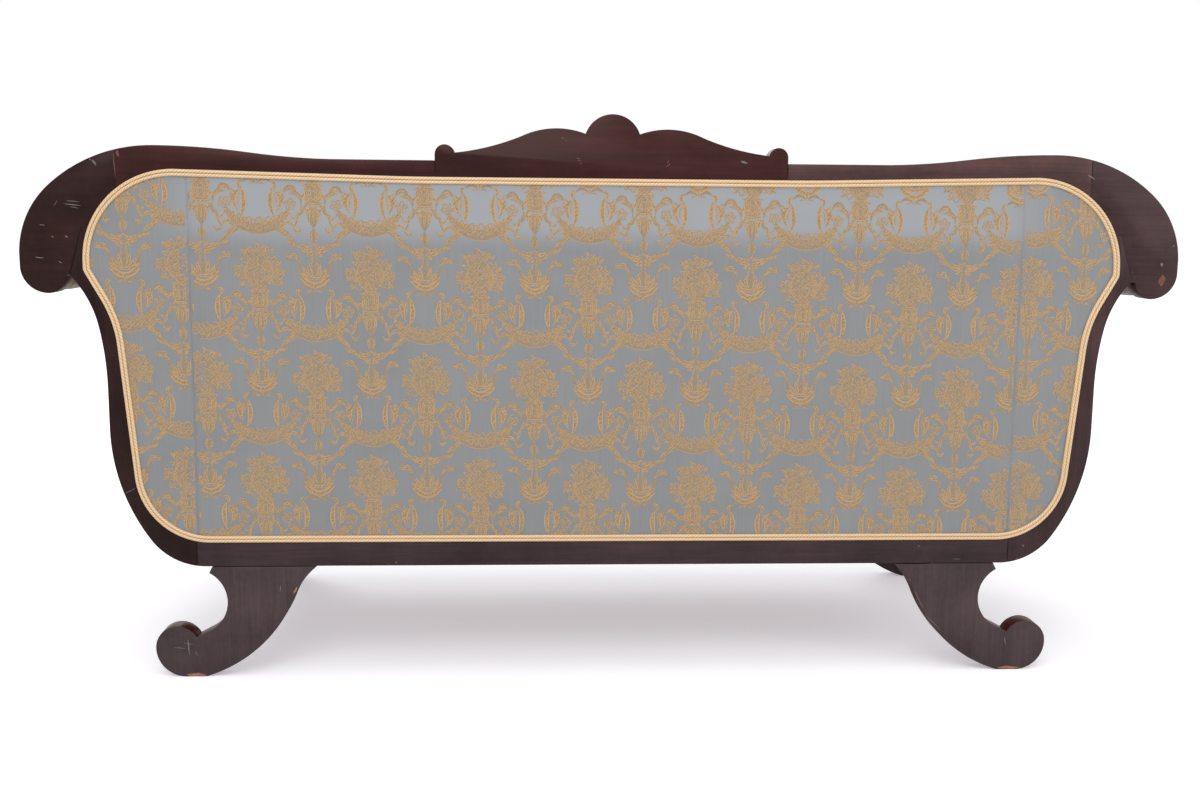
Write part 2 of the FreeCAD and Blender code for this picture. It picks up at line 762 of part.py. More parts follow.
def leg_outline():
    x, top = leg_corner_x, frame_z - leg_joint_gap
    inner = x - leg_top_length
    run = Curve(inner, top)
    run.bow(inner + leg_throat[0], top - leg_throat[1], inner + leg_throat_end[0], top - leg_throat_end[1])
    run.bow(x - leg_belly[0], leg_belly[1], x + foot_flat_from, 0.0)
    run.line(x + foot_flat_to, 0.0)
    run.bow(x + foot_turn[0], foot_turn[1], x + leg_scroll_out, leg_scroll_z)
    run.bow(x + leg_scroll_top_out, leg_scroll_top_z, x + leg_notch_out, leg_notch_z)
    run.line(x + leg_heel_out, leg_heel_z)
    nose = (x + leg_nose, top - leg_nose_drop)
    run.bow(x - leg_hollow, (nose[1] + leg_heel_z) / 2, *nose)
    return run.line(x, top)


def legs():
    """Four sawn scroll legs, glue blocks behind them."""
    leg = bored(plate(leg_outline(), back_in, back_y), tongues(leg_tongues, glue_gap))
    both("rear_leg", leg)
    both("front_leg", turned_round(leg))
    x, y, s = leg_corner_x - leg_block_in, back_in, leg_block_size
    wire = Part.makePolygon([V(x, y, frame_z - s), V(x, y - leg_block_toe, frame_z - s),
                             V(x, y - s, frame_z), V(x, y - s, frame_z + s),
                             V(x, y, frame_z + s), V(x, y, frame_z - s)])
    block = Part.Face(wire).extrude(V(-leg_block_length, 0, 0))
    blocks = [block, turned_round(block)]
    save("leg_blocks", blocks + [mirror(b) for b in blocks])


def lath_faces(chain, first, last):
    """Outer faces of a row of laths, their edges on the chain."""
    count = int((last - first) // lath_pitch) + 1
    faces = []
    for i in range(count):
        middle = first + (last - first) * (i + 0.5) / count
        faces.append((chain.at(middle - lath_width / 2)[0], chain.at(middle + lath_width / 2)[0]))
    return faces


def moved_in(face, gap):
    """A lath's face moved to its left, away from the cloth."""
    (ax, az), (bx, bz) = face
    run = math.hypot(bx - ax, bz - az)
    nx, nz = -(bz - az) / run * gap, (bx - ax) / run * gap
    return [(ax + nx, az + nz), (bx + nx, bz + nz)]


outer_lath_line = stile_run.inset(outer_stack + clear + hollow_sag)
inner_lath_line = arm_line.inset(pad_inner + clear)
outer_faces = lath_faces(outer_lath_line, side_rail_thickness + lath_margin,
                         outer_lath_line.length() - 3 * lath_margin)
inner_faces = lath_faces(inner_lath_line, scroll_open, inner_lath_line.length() - lath_margin)


def arm_frames():
    """Formers, laths and the batten that together carry the cloth of one arm."""
    laths = []
    for face in outer_faces + inner_faces:
        laths.append(plate(polygon(list(face) + moved_in(face, lath_thickness)[::-1]),
                           front_in, back_in))
    corners = []
    for face in outer_faces + inner_faces:
        corners += moved_in(face, lath_thickness)
    former = polygon(corners)
    formers = [plate(former, y0, y0 + former_thickness)
               for y0 in (front_in, -former_thickness / 2, back_in - former_thickness)]
    both("arm_laths", Part.makeCompound(laths))
    both("arm_formers", Part.makeCompound(formers))
    both("arm_scroll_batten", scroll_batten())


def web_strip(x0, x1, y, crossings, first_up):
    """One strip along X, over and under the strips that it crosses."""
    lift = (web_thickness + web_gap) / 2
    flat = web_width / 2 + web_flat
    middle = deck_z + web_thickness / 2
    spots = [(x0, middle), (x0 + web_hold + web_flat, middle)]
    for i, x in enumerate(crossings):
        z = middle + (lift if (i % 2 == 0) == first_up else -lift)
        spots += [(x - flat, z), (x + flat, z)]
    spots += [(x1 - web_hold - web_flat, middle), (x1, middle)]
    under = [(x, z - web_thickness / 2) for x, z in spots]
    over = [(x, z + web_thickness / 2) for x, z in reversed(spots)]
    return plate(polygon(under + over), y - web_width / 2, y + web_width / 2)


def webbing():
    """The seat's webbing, long strips and cross strips laced through each other."""
    reach_x = half - side_rail_in + web_hold
    reach_y = back_in + web_hold
    xs = [reach_x * 2 * (i + 0.5) / web_cross_count - reach_x for i in range(web_cross_count)]
    span = 2 * (back_in - web_width / 2 - web_edge)
    ys = [span * i / (web_long_count - 1) - span / 2 for i in range(web_long_count)]
    save("seat_webbing_long",
         [web_strip(-reach_x, reach_x, y, xs, j % 2 == 0) for j, y in enumerate(ys)])
    cross = []
    for i, x in enumerate(xs):
        strip = web_strip(-reach_y, reach_y, -x, ys, i % 2 == 1)
        strip.rotate(V(0, 0, 0), V(0, 0, 1), 90)
        cross.append(strip)
    save("seat_webbing_cross", cross)
    top = top_rail_under + web_hold
    foot = tuck_z + tuck_rail_height - web_hold
    back = []
    for i in range(back_web_count):
        x = (i - (back_web_count - 1) / 2) * back_web_pitch
        back.append(box(x - web_width / 2, x + web_width / 2,
                        back_in - web_thickness, back_in, foot, top))
    save("back_webbing", back)


seat_z = deck_z + 1.5 * web_thickness + web_gap
cover_z = seat_z + hessian_thickness + pile
pad_y = back_in - web_thickness - hessian_thickness - 2 * pile


def seat_block(wall, top_drop, crown, swell):
    """A crowned block between the arms, its front drawn in above and below."""
    z0, z1 = cover_z, cover_z + seat_edge_height - top_drop
    lean = (arm_x(z1) - arm_x(z0)) / (z1 - z0)
    x0 = arm_x(z0) - clear - wall
    front = front_y + seat_front_inset + wall
    back = pad_y - back_pad_thickness * (1 + back_crown) - clear - wall
    sections = []
    for t in (-1.0, -0.85, 0.0, 0.85, 1.0):
        def spot(y, z):
            return V(t * (x0 + (z - z0) * lean), y, z)
        top = z1 + crown * (1 - seat_crown_fall * t ** 4)
        low = z0 + gimp_width
        edges = [Part.makeLine(spot(front, z0), spot(back, z0)),
                 Part.makeLine(spot(back, z0), spot(back, z1)),
                 Part.Arc(spot(back, z1), spot((front + back) / 2, top),
                          spot(front + swell, z1)).toShape(),
                 Part.Arc(spot(front + swell, z1), spot(front - swell, (z1 + low) / 2),
                          spot(front, low)).toShape(),
                 Part.makeLine(spot(front, low), spot(front, z0))]
        sections.append(Part.Wire(edges))
    return Part.makeLoft(sections, True, True)


def seat():
    x = arm_x(seat_z) - clear
    on_rail = half - opening_foot_in - opening_corner_radius
    sheet = box(-x, x, front_y + seat_front_inset, back_in, seat_z, seat_z + hessian_thickness)
    hem = box(-on_rail, on_rail, back_in, back_in + web_hold, seat_z, seat_z + hessian_thickness)
    save("seat_hessian", sheet.fuse(hem).removeSplitter())
    save("seat_stuffing", seat_block(seat_cover_wall, seat_top_padding, stuffing_crown, stuffing_crown))
    room = seat_block(seat_cover_wall - clear, seat_top_padding - clear, stuffing_crown, stuffing_crown)
    save("seat_cover", seat_block(0.0, 0.0, seat_crown, seat_swell).cut(room))
    x, y = arm_x(deck_z) - clear, front_y + seat_front_inset
    save("gimp_seat_front", box(-x, x, y - gimp_height, y, deck_z, deck_z + gimp_width))


def pad_edge():
    """Edge of the inside back pad: up along the arm, round the corner, to the middle."""
    up = arm_line.backwards()
    top = back_height - back_pad_top_drop

    def distance_to(z):
        low, high = 0.0, up.length() - scroll_open
        for _ in range(50):
            middle = (low + high) / 2
            low, high = (middle, high) if up.at(middle)[0][1] < z else (low, middle)
        return low
    side = up.between(distance_to(tuck_z - back_pad_foot), distance_to(top - back_pad_corner)).inset(clear)
    (x, z), (hx, hz) = side.tip, side.heading
    rest = (top - z) / hz
    side.sweep(x + hx * rest - rest, top)
    return side.line(0, top)


def back_pad():
    edge = pad_edge()
    save("back_hessian", plate(whole(edge.inset(1.0)), pad_y + pile, pad_y + pile + hessian_thickness))
    levels = ((0.0, 0.0), (0.45, 0.0), (0.8, 9.0), (1.0, 26.0), (1.0 + back_crown, back_crown_in))
    wires = []
    for out, inset in levels:
        run = edge.inset(inset) if inset else edge
        wires.append(whole(run).closed_wire(pad_y - back_pad_thickness * out))
    save("back_pad", Part.makeLoft(wires, True, True))
    turn = edge.length() - edge.parts[-1][1][0]
    run = edge.between(turn - back_gimp_start, edge.length())
    outer, inner = run.inset(-gimp_width), run.inset(-clear)
    band = Curve(*outer.start()).join(outer).join(outer.mirrored())
    band.join(Curve(*inner.start()).join(inner).join(inner.mirrored()).backwards())
    save("gimp_back_inside", plate(band, back_in - gimp_height, back_in))


def pad_inside():
    """Inner face of the arm pad: round the batten, then flat on each lath."""
    inside = arm_line.inset(pad_inner).between(0.0, scroll_open)
    for face in inner_faces:
        for x, z in moved_in(face, -clear):
            inside.line(x, z)
    return inside.line(*arm_line.inset(pad_inner).tip)


pad_inside_run = pad_inside()
pad_heart = (pad_inside_run.start()[0], outermost_z + lobe_radius)
arm_hollow = plate(Curve(*pad_inside_run.start()).join(pad_inside_run).line(*pad_heart), -far, far)


def arm_block(inset, y0, y1):
    """Everything within the arm pad's outer face, over a stretch of the arm."""
    run = arm_line.inset(inset)
    block = Curve(*run.start()).join(run).line(*pad_inside_run.tip).line(*pad_heart)
    return plate(block.line(*pad_inside_run.start()), y0, y1)


def arm_gimp(run, y0):
    """Cord beside a board, laid on the cloth along a chain."""
    over, under = run.inset(cover_inset - gimp_height), run.inset(cover_inset)
    return plate(Curve(*over.start()).join(over).join(under.backwards()), y0, y0 + gimp_width)


def arm_pads():
    """Full over the middle of the arm, sloping down to the level bands that carry the gimp."""
    run = arm_line.inset(cover_inset - arm_pad_crown)
    end = back_in - gimp_width - arm_crown_end
    crown = arm_block(cover_inset - arm_pad_crown, -end, end)
    for y in (-end, end):
        rims = []
        for edge in crown.Edges:
            at = edge.valueAt((edge.FirstParameter + edge.LastParameter) / 2)
            if any(V(x, y, z).distanceToPoint(at) < 0.01 for x, z in run.middles()):
                rims.append(edge)
        crown = crown.makeChamfer(arm_crown_reach, arm_pad_crown, rims)
    pad = crown.fuse(arm_block(cover_inset, front_in, back_in)).cut(arm_hollow)
    both("arm_pad", pad.removeSplitter())


def arm_covers():
    skin, under = stile_run.inset(cover_inset), stile_run.inset(outer_stack)
    both("arm_outside_cover",
         plate(Curve(*skin.start()).join(skin).join(under.backwards()), front_in, back_in))
    inner_run = arm_line.between(0.0, arm_line.length() - seat_edge_height - gimp_seat_gap)
    outer_run = stile_run.between(gimp_start, stile_run.length())
    over_top = arm_line.between(0.0, scroll_length)
    rear = back_in - gimp_width
    front_cords = [arm_gimp(inner_run, front_in), arm_gimp(outer_run, front_in)]
    rear_cords = [arm_gimp(over_top, rear), arm_gimp(outer_run, rear)]
    save("gimp_arms_front", front_cords + [mirror(c) for c in front_cords])
    save("gimp_arms_rear", rear_cords + [mirror(c) for c in rear_cords])


def back_covers():
    y0 = back_y - rebate
    y1 = y0 + cloth_thickness
    sheet = plate(cloth_run.inset(clear), y0, y1)
    seam = half - seam_in
    save("back_cover_center", sheet.common(box(-seam, seam, -far, far, 0, far)))
    both("back_cover", sheet.common(box(seam + clear, far, -far, far, 0, far)))
    rim = plate(cloth_run.inset(clear), y1, y1 + gimp_height)
    save("gimp_back", rim.cut(plate(cloth_run.inset(clear + gimp_width), -far, far)))


os.makedirs("parts", exist_ok=True)
side_boards()
cresting()
bottom_rails()
inner_back_members()
front_boards()
loose_tongues()
seat_frame()
legs()
arm_frames()
webbing()
seat()
back_pad()
arm_pads()
arm_covers()
back_covers()
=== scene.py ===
import math
import bisect
import bpy
import bmesh
import numpy as np
from mathutils import Vector, Matrix, noise
from mathutils.bvhtree import BVHTree
from mathutils.kdtree import KDTree


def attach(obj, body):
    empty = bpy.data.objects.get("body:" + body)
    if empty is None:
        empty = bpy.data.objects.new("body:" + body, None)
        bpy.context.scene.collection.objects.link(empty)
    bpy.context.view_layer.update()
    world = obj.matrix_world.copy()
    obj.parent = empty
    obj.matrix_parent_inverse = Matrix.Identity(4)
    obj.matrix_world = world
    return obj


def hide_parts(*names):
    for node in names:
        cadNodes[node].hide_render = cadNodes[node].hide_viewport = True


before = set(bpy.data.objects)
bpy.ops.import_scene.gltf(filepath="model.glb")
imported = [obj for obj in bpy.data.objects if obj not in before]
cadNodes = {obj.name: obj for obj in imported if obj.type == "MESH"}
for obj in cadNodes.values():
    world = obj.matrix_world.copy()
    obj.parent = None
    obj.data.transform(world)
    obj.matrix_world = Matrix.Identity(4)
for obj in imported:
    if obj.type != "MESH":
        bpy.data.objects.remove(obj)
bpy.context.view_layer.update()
scene = bpy.context.scene
mm = 0.001


# Small helpers

def hexColour(code):
    parts = [int(code[i:i + 2], 16) / 255 for i in (1, 3, 5)]
    linear = [c / 12.92 if c <= 0.04045 else ((c + 0.055) / 1.055) ** 2.4 for c in parts]
    return (linear[0], linear[1], linear[2], 1.0)


def newMaterial(name):
    material = bpy.data.materials.new(name)
    material.use_nodes = True
    return material, material.node_tree.nodes["Principled BSDF"]


def setNode(material, node, settings, links):
    # a key is a socket's name or number, or one of the node's own settings
    # a node that is linked gives its first output
    for key, value in settings.items():
        if isinstance(key, int) or key in node.inputs:
            node.inputs[key].default_value = value
        else:
            setattr(node, key, value)
    for key, source in links.items():
        if isinstance(source, bpy.types.Node):
            source = source.outputs[0]
        material.node_tree.links.new(source, node.inputs[key])


def addNode(material, kind, settings=None, links=None):
    node = material.node_tree.nodes.new("ShaderNode" + kind)
    setNode(material, node, settings or {}, links or {})
    return node


def setRamp(ramp, stops):
    elements = ramp.color_ramp.elements
    for element, (place, colour) in zip(elements, stops):
        element.position = place
        element.color = colour
    for place, colour in stops[2:]:
        elements.new(place).color = colour
    return ramp


def onlySelect(piece):
    bpy.ops.object.select_all(action="DESELECT")
    piece.hide_set(False)
    piece.select_set(True)
    bpy.context.view_layer.objects.active = piece


def applyModifier(piece, kind, **settings):
    onlySelect(piece)
    modifier = piece.modifiers.new(kind.lower(), kind)
    for key, value in settings.items():
        setattr(modifier, key, value)
    bpy.ops.object.modifier_apply(modifier=modifier.name)


def editAll(piece, operator, **settings):
    # one operator of edit mode on the whole piece
    onlySelect(piece)
    bpy.ops.object.mode_set(mode="EDIT")
    bpy.ops.mesh.select_all(action="SELECT")
    operator(**settings)
    bpy.ops.object.mode_set(mode="OBJECT")


def pieceFrom(name, verts, faces):
    mesh = bpy.data.meshes.new(name)
    mesh.from_pydata(verts, [], faces)
    piece = bpy.data.objects.new(name, mesh)
    scene.collection.objects.link(piece)
    return piece


def setUv(mesh, flats):
    # one flat place in metres for each vertex
    layer = mesh.uv_layers.active or mesh.uv_layers.new(name="UVMap")
    layer.name = "UVMap"
    corners = np.empty(len(mesh.loops), dtype=np.int64)
    mesh.loops.foreach_get("vertex_index", corners)
    layer.data.foreach_set("uv", np.array(flats, dtype=np.float32)[corners].ravel())


def selectFaces(piece, wanted):
    # enters edit mode with only the wanted faces selected
    onlySelect(piece)
    bpy.context.tool_settings.mesh_select_mode = (False, False, True)
    for part in (piece.data.vertices, piece.data.edges, piece.data.polygons):
        part.foreach_set("select", [False] * len(part))
    for p in piece.data.polygons:
        p.select = wanted(p)
    bpy.ops.object.mode_set(mode="EDIT")


def copyOf(node, name):
    piece = bpy.data.objects.new(name, cadNodes[node].data.copy())
    scene.collection.objects.link(piece)
    piece.data.materials.clear()
    editAll(piece, bpy.ops.mesh.remove_doubles, threshold=0.00001)
    return piece


def settle(piece, slotName, *nodes):
    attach(piece, "root")
    if nodes:
        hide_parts(*nodes)


# Materials of the wood

multiply = {"data_type": "RGBA", "blend_type": "MULTIPLY"}


def alongGrain(axis, long, wide):
    # scales of a pattern that is drawn out along one axis
    return [long if letter == axis else wide for letter in "XYZ"]


def mahogany(name, grainAxis, shift, shade, film=0.22, patchy=0.55):
    # old Cuban mahogany, sawn, stained and french polished: near black brown with reddish streaks,
    # fine open pores along the grain, and a thin satin film that is duller in patches
    material, shader = newMaterial(name)
    place = addNode(material, "TexCoord").outputs["Object"]
    stretch = alongGrain(grainAxis, 1.6, 42.0)      # streaks about 24 mm wide and 0.6 m long
    streak = addNode(material, "Mapping", {"Location": shift, "Scale": stretch}, {"Vector": place})
    figure = addNode(material, "TexNoise",
                     {"Scale": 1.0, "Detail": 5.0, "Roughness": 0.62, "Distortion": 0.4}, {"Vector": streak})
    poreSize = [7.0 * s for s in stretch]          # pores about 3 mm wide, ten times real ones, to show
    poreMap = addNode(material, "Mapping", {"Location": shift, "Scale": poreSize}, {"Vector": place})
    pores = addNode(material, "TexNoise", {"Scale": 1.0, "Detail": 3.0, "Roughness": 0.7},
                    {"Vector": poreMap})
    patches = addNode(material, "TexNoise", {"Scale": 6.0, "Detail": 9.0, "Roughness": 0.72}, {"Vector": place})
    dark, mid, red = [hexColour(code) for code in shade]
    colours = setRamp(addNode(material, "ValToRGB", {}, {"Fac": figure}),
                      [(0.22, dark), (0.86, red), (0.52, mid)])
    poreShade = setRamp(addNode(material, "ValToRGB", {}, {"Fac": pores}),
                        [(0.36, (0.6, 0.57, 0.6, 1.0)), (0.56, (1.0, 1.0, 1.0, 1.0))])
    withPores = addNode(material, "Mix", {**multiply, 0: 0.4},
                        {6: colours, 7: poreShade})
    worn = setRamp(addNode(material, "ValToRGB", {}, {"Fac": patches}),
                   [(0.36, (0.42, 0.40, 0.46, 1.0)), (0.64, (1.5, 1.3, 1.25, 1.0))])
    final = addNode(material, "Mix", {**multiply, 0: patchy},
                    {6: withPores.outputs[2], 7: worn})
    dull = addNode(material, "MapRange", {"From Min": 0.3, "From Max": 0.7, "To Min": 0.28, "To Max": 0.46},
                   {"Value": patches})
    bump = addNode(material, "Bump", {"Strength": 0.12, "Distance": 0.0004}, {"Height": pores})
    setNode(material, shader,
            {"Specular IOR Level": film, "Specular Tint": hexColour("#F0C4B4"),
             "Coat Weight": film / 2, "Coat Roughness": 0.18, "Coat Tint": hexColour("#E8C8BC")},
            {"Base Color": final.outputs[2], "Roughness": dull, "Normal": bump})
    return material


def rawWood(name, grainAxis, light, deep):
    # beech or pine left bare inside the frame: dry, matt, yellowed by age, with rings along the board
    material, shader = newMaterial(name)
    place = addNode(material, "TexCoord").outputs["Object"]
    grain = addNode(material, "Mapping", {"Scale": alongGrain(grainAxis, 1.5, 30.0)}, {"Vector": place})
    rings = addNode(material, "TexNoise",
                    {"Scale": 1.0, "Detail": 6.0, "Roughness": 0.6, "Distortion": 0.6}, {"Vector": grain})
    colours = setRamp(addNode(material, "ValToRGB", {}, {"Fac": rings}),
                      [(0.34, hexColour(deep)), (0.66, hexColour(light))])
    bump = addNode(material, "Bump", {"Strength": 0.25, "Distance": 0.0005}, {"Height": rings})
    setNode(material, shader, {"Roughness": 0.72, "Specular IOR Level": 0.3},
            {"Base Color": colours, "Normal": bump})
    return material


shades = {
    "nearBlack": ("#1B0F12", "#231517", "#301B1D"),
    "red": ("#2B1617", "#371B1C", "#442222"),
    "redder": ("#483537", "#533F40", "#5E4343"),
    "violet": ("#362A2E", "#403236", "#4A383B"),     # bloomed by old wax, so greyer
    "bloomed": ("#352B30", "#3D3338", "#46393C"),
    # worn, for the legs: greyer with wear, and also painted lighter to make up for the light that falls less on the
    # legs' faces
    "worn": ("#453C40", "#4A4145", "#4F4549"),
    "sawn": ("#341A17", "#45241F", "#57322B"),
}
wood = {"sawnEdge": mahogany("mahoganySawnEdge", "Y", (0.4, 0.9, 2.6), shades["sawn"], 0.12)}
for finish, axis, shift, shade, patchy in (
        ("RailLeft", "X", (0.3, 0.1, 0.7), "red", 0.55),
        ("RailRight", "X", (1.3, 2.1, 5.7), "redder", 0.55),
        ("Crest", "X", (4.1, 2.1, 0.2), "red", 0.55),
        ("BottomRail", "X", (2.4, 6.2, 3.9), "bloomed", 0.55),
        ("UprightLeft", "Z", (1.7, 0.4, 2.6), "nearBlack", 1.0),
        ("UprightRight", "Z", (0.7, 5.4, 1.6), "violet", 0.55),
        ("ScrollLeft", "X", (7.2, 3.3, 1.1), "nearBlack", 1.0),
        ("ScrollRight", "X", (2.2, 8.3, 4.1), "violet", 0.55),
        # the legs' tone is partly painted lighter, standing in for light on their faces
        ("LegLeft", "Z", (5.0, 1.9, 0.6), "worn", 0.55),
        ("LegRight", "Z", (3.0, 0.9, 8.6), "worn", 0.55)):
    wood[finish] = mahogany("polishedMahogany" + finish, axis, shift, shades[shade], patchy=patchy)
for finish, axis, light, deep in (
        ("BeechUpright", "Z", "#B98F5E", "#8A6238"),
        ("BeechRail", "X", "#BC945F", "#8F683B"),
        ("BeechCross", "Y", "#B58C5C", "#87603A")):
    wood[finish] = rawWood("aged" + finish, axis, light, deep)
print("wood materials made")


# The sawn boards: each is the frame's own board with its arrises eased

boards = {
    "arris": {"polished": 0.9, "bare": 0.7},        # mm, radius of a worn arris
    # node and finish, where a node that ends in _ has a left and a right one
    "polished": [
        ("top_rail_", "Rail"), ("cresting_board", "Crest"), ("back_scroll_", "Scroll"),
        ("back_stile_", "Upright"), ("back_bottom_rail", "BottomRail"), ("front_scroll_", "Scroll"),
        ("front_stile_", "Upright"), ("front_seat_rail", "BottomRail"), ("rear_leg_", "Leg"), ("front_leg_", "Leg"),
    ],
    "bare": [
        ("tuck_rail", "BeechRail"), ("back_muntin_", "BeechUpright"), ("back_frame_tongues", "BeechRail"),
        ("front_frame_tongues", "BeechRail"), ("leg_tongues", "BeechUpright"), ("side_rail_", "BeechCross"),
        ("seat_stretcher_", "BeechCross"), ("corner_blocks", "BeechUpright"), ("leg_blocks", "BeechUpright"),
        ("arm_laths_", "BeechCross"), ("arm_formers_", "BeechUpright"), ("arm_scroll_batten_", "BeechCross"),
    ],
}


def easedBoard(node, finish, kind):
    parts = node.split("_")
    piece = copyOf(node, parts[0] + "".join(part.capitalize() for part in parts[1:]))
    editAll(piece, bpy.ops.mesh.dissolve_limited, angle_limit=math.radians(0.6))
    applyModifier(piece, "BEVEL", width=boards["arris"][kind] * mm, segments=2, limit_method="ANGLE",
                  angle_limit=math.radians(40), use_clamp_overlap=False)
    piece.data.materials.append(wood[finish])
    if kind == "polished":
        # the sawn edges took the stain redder than the faces and were waxed, not polished
        piece.data.materials.append(wood["sawnEdge"])
        for face in piece.data.polygons:
            face.material_index = 0 if abs(face.normal.y) > 0.3 else 1
    bpy.ops.object.shade_smooth_by_angle(angle=math.radians(35))
    settle(piece, "mahogany" if kind == "polished" else "frame_wood", node)
    return piece


for kind in ("polished", "bare"):
    for node, finish in boards[kind]:
        if not node.endswith("_"):
            easedBoard(node, finish, kind)
            continue
        for side in ("left", "right"):
            hand = side.capitalize() if kind == "polished" else ""
            easedBoard(node + side, finish + hand, kind)


# Materials of the cloth and trims

threads = {"wave_type": "BANDS", "Detail": 2.0}
softEdge = {"interpolation_type": "SMOOTHSTEP"}


def figuredGround(name, paintedSheenBand=False):
    # viscose and cotton furnishing satin, jacquard woven: smooth grey blue ground with fine cross threads
    # and a soft shine; threads are 1.7 and 1.4 mm apart, five real ones, to show
    material, shader = newMaterial(name)
    flat = addNode(material, "UVMap")
    warp = addNode(material, "TexWave", {**threads, "bands_direction": "X", "Scale": 190.0, "Distortion": 0.6},
                   {"Vector": flat})
    weft = addNode(material, "TexWave", {**threads, "bands_direction": "Y", "Scale": 230.0, "Distortion": 0.8},
                   {"Vector": flat})
    weave = addNode(material, "Math", {"operation": "MULTIPLY"},
                    {0: warp.outputs["Fac"], 1: weft.outputs["Fac"]})
    slubMap = addNode(material, "Mapping", {"Scale": (380.0, 9.0, 1.0)}, {"Vector": flat})
    slubs = addNode(material, "TexNoise", {"Scale": 1.0, "Detail": 3.0, "Roughness": 0.6}, {"Vector": slubMap})
    cloudy = addNode(material, "TexNoise", {"Scale": 6.0, "Detail": 3.0, "Roughness": 0.55}, {"Vector": flat})
    ground = setRamp(addNode(material, "ValToRGB", {}, {"Fac": slubs}),
                     [(0.25, hexColour("#87888B")), (0.75, hexColour("#8E8F92"))])
    soiled = setRamp(addNode(material, "ValToRGB", {}, {"Fac": cloudy}),
                     [(0.3, (0.93, 0.94, 0.94, 1.0)), (0.7, (1.04, 1.03, 1.02, 1.0))])
    tinted = addNode(material, "Mix", {**multiply, 0: 1.0},
                     {6: ground, 7: soiled})
    colour = tinted.outputs[2]
    if paintedSheenBand:
        # painted sheen: the top of the back, where the cloth lies against the rail, is painted paler and bluer,
        # standing in for the light the cloth catches there from above
        place = addNode(material, "SeparateXYZ", {},
                        {"Vector": addNode(material, "TexCoord").outputs["Object"]})
        height = addNode(material, "MapRange", {**softEdge, "From Min": 0.725, "From Max": 0.775},
                         {"Value": place.outputs["Z"]})
        half = addNode(material, "Math", {"operation": "ABSOLUTE"}, {0: place.outputs["X"]})
        middle = addNode(material, "MapRange", {**softEdge, "From Min": 0.80, "From Max": 0.62},
                         {"Value": half})
        band = addNode(material, "Math", {"operation": "MULTIPLY"}, {0: height, 1: middle})
        share = addNode(material, "Math", {"operation": "MULTIPLY", 1: 0.85}, {0: band})
        colour = addNode(material, "Mix", {"data_type": "RGBA", 7: hexColour("#A0A3A8")},
                         {0: share, 6: colour}).outputs[2]
    bump = addNode(material, "Bump", {"Strength": 0.25, "Distance": 0.0003}, {"Height": weave})
    setNode(material, shader,
            {"Roughness": 0.58, "Specular IOR Level": 0.3, "Sheen Weight": 0.12, "Sheen Roughness": 0.4},
            {"Base Color": colour, "Normal": bump})
    return material


def goldYarn(name, line, filling, gap, lineFrom):
    # mercerised gold yarn: a bright outline to each shape, and inside it broken floats, 5 mm apart,
    # with the ground showing between
    material, shader = newMaterial(name)
    flat = addNode(material, "UVMap")
    floats = addNode(material, "TexWave",
                     {**threads, "bands_direction": "DIAGONAL", "Scale": 95.0, "Distortion": 7.0,
                      "Detail Scale": 2.0}, {"Vector": flat})
    inside = setRamp(addNode(material, "ValToRGB", {}, {"Fac": floats.outputs["Fac"]}),
                     [(0.30, hexColour(gap)), (0.62, hexColour(filling))])
    across = addNode(material, "Attribute", {"attribute_name": "edge"})
    outline = addNode(material, "MapRange", {"From Min": lineFrom, "From Max": lineFrom + 0.12},
                      {"Value": across.outputs["Fac"]})
    colour = addNode(material, "Mix", {"data_type": "RGBA", 7: hexColour(line)},
                     {0: outline, 6: inside})
    bump = addNode(material, "Bump", {"Strength": 0.35, "Distance": 0.0003}, {"Height": floats.outputs["Fac"]})
    setNode(material, shader, {"Roughness": 0.45, "Specular IOR Level": 0.45, "Sheen Weight": 0.15},
            {"Base Color": colour.outputs[2], "Normal": bump})
    return material


def silkCord(name):
    # twisted rayon cord of the gimp: cream gold, with a painted highlight on each turn of the twist and painted
    # shade between turns
    material, shader = newMaterial(name)
    flat = addNode(material, "UVMap")
    hairs = addNode(material, "TexNoise", {"Scale": 900.0, "Detail": 2.0}, {"Vector": flat})
    hollow = addNode(material, "Attribute", {"attribute_name": "turn"})
    level = addNode(material, "Math", {"operation": "MULTIPLY_ADD", 1: 0.25},
                    {0: hairs, 2: hollow.outputs["Fac"]})
    # the turn attribute is 1 on a strand's crown and 0 in the groove, so the lighter colour there is painted
    # highlight and the darker is painted shade
    colours = setRamp(addNode(material, "ValToRGB", {}, {"Fac": level}),
                      [(0.05, hexColour("#C8A272")), (1.0, hexColour("#EFD0AA")), (0.5, hexColour("#E1BE93"))])
    setNode(material, shader, {"Roughness": 0.42, "Specular IOR Level": 0.5, "Sheen Weight": 0.1},
            {"Base Color": colours})
    return material


def coarseWeave(name, light, deep, threadScale, rough, strength):
    # jute cloth or webbing: coarse plain weave of dry hairy yarn, threads 1.5 to 2 mm apart
    material, shader = newMaterial(name)
    place = addNode(material, "TexCoord").outputs["Object"]
    coarse = {**threads, "Distortion": 1.2}
    across = addNode(material, "TexWave", {**coarse, "bands_direction": "X", "Scale": threadScale},
                     {"Vector": place})
    along = addNode(material, "TexWave", {**coarse, "bands_direction": "Y", "Scale": threadScale * 0.9},
                    {"Vector": place})
    hairs = addNode(material, "TexNoise", {"Scale": 240.0, "Detail": 4.0}, {"Vector": place})
    weave = addNode(material, "Math", {"operation": "MULTIPLY"},
                    {0: across.outputs["Fac"], 1: along.outputs["Fac"]})
    both = addNode(material, "Math", {"operation": "MULTIPLY_ADD", 1: 0.6}, {0: hairs, 2: weave})
    colours = setRamp(addNode(material, "ValToRGB", {}, {"Fac": both}),
                      [(0.2, hexColour(deep)), (1.0, hexColour(light))])
    bump = addNode(material, "Bump", {"Strength": strength, "Distance": 0.0008}, {"Height": both})
    setNode(material, shader, {"Roughness": rough, "Specular IOR Level": 0.2},
            {"Base Color": colours, "Normal": bump})
    return material


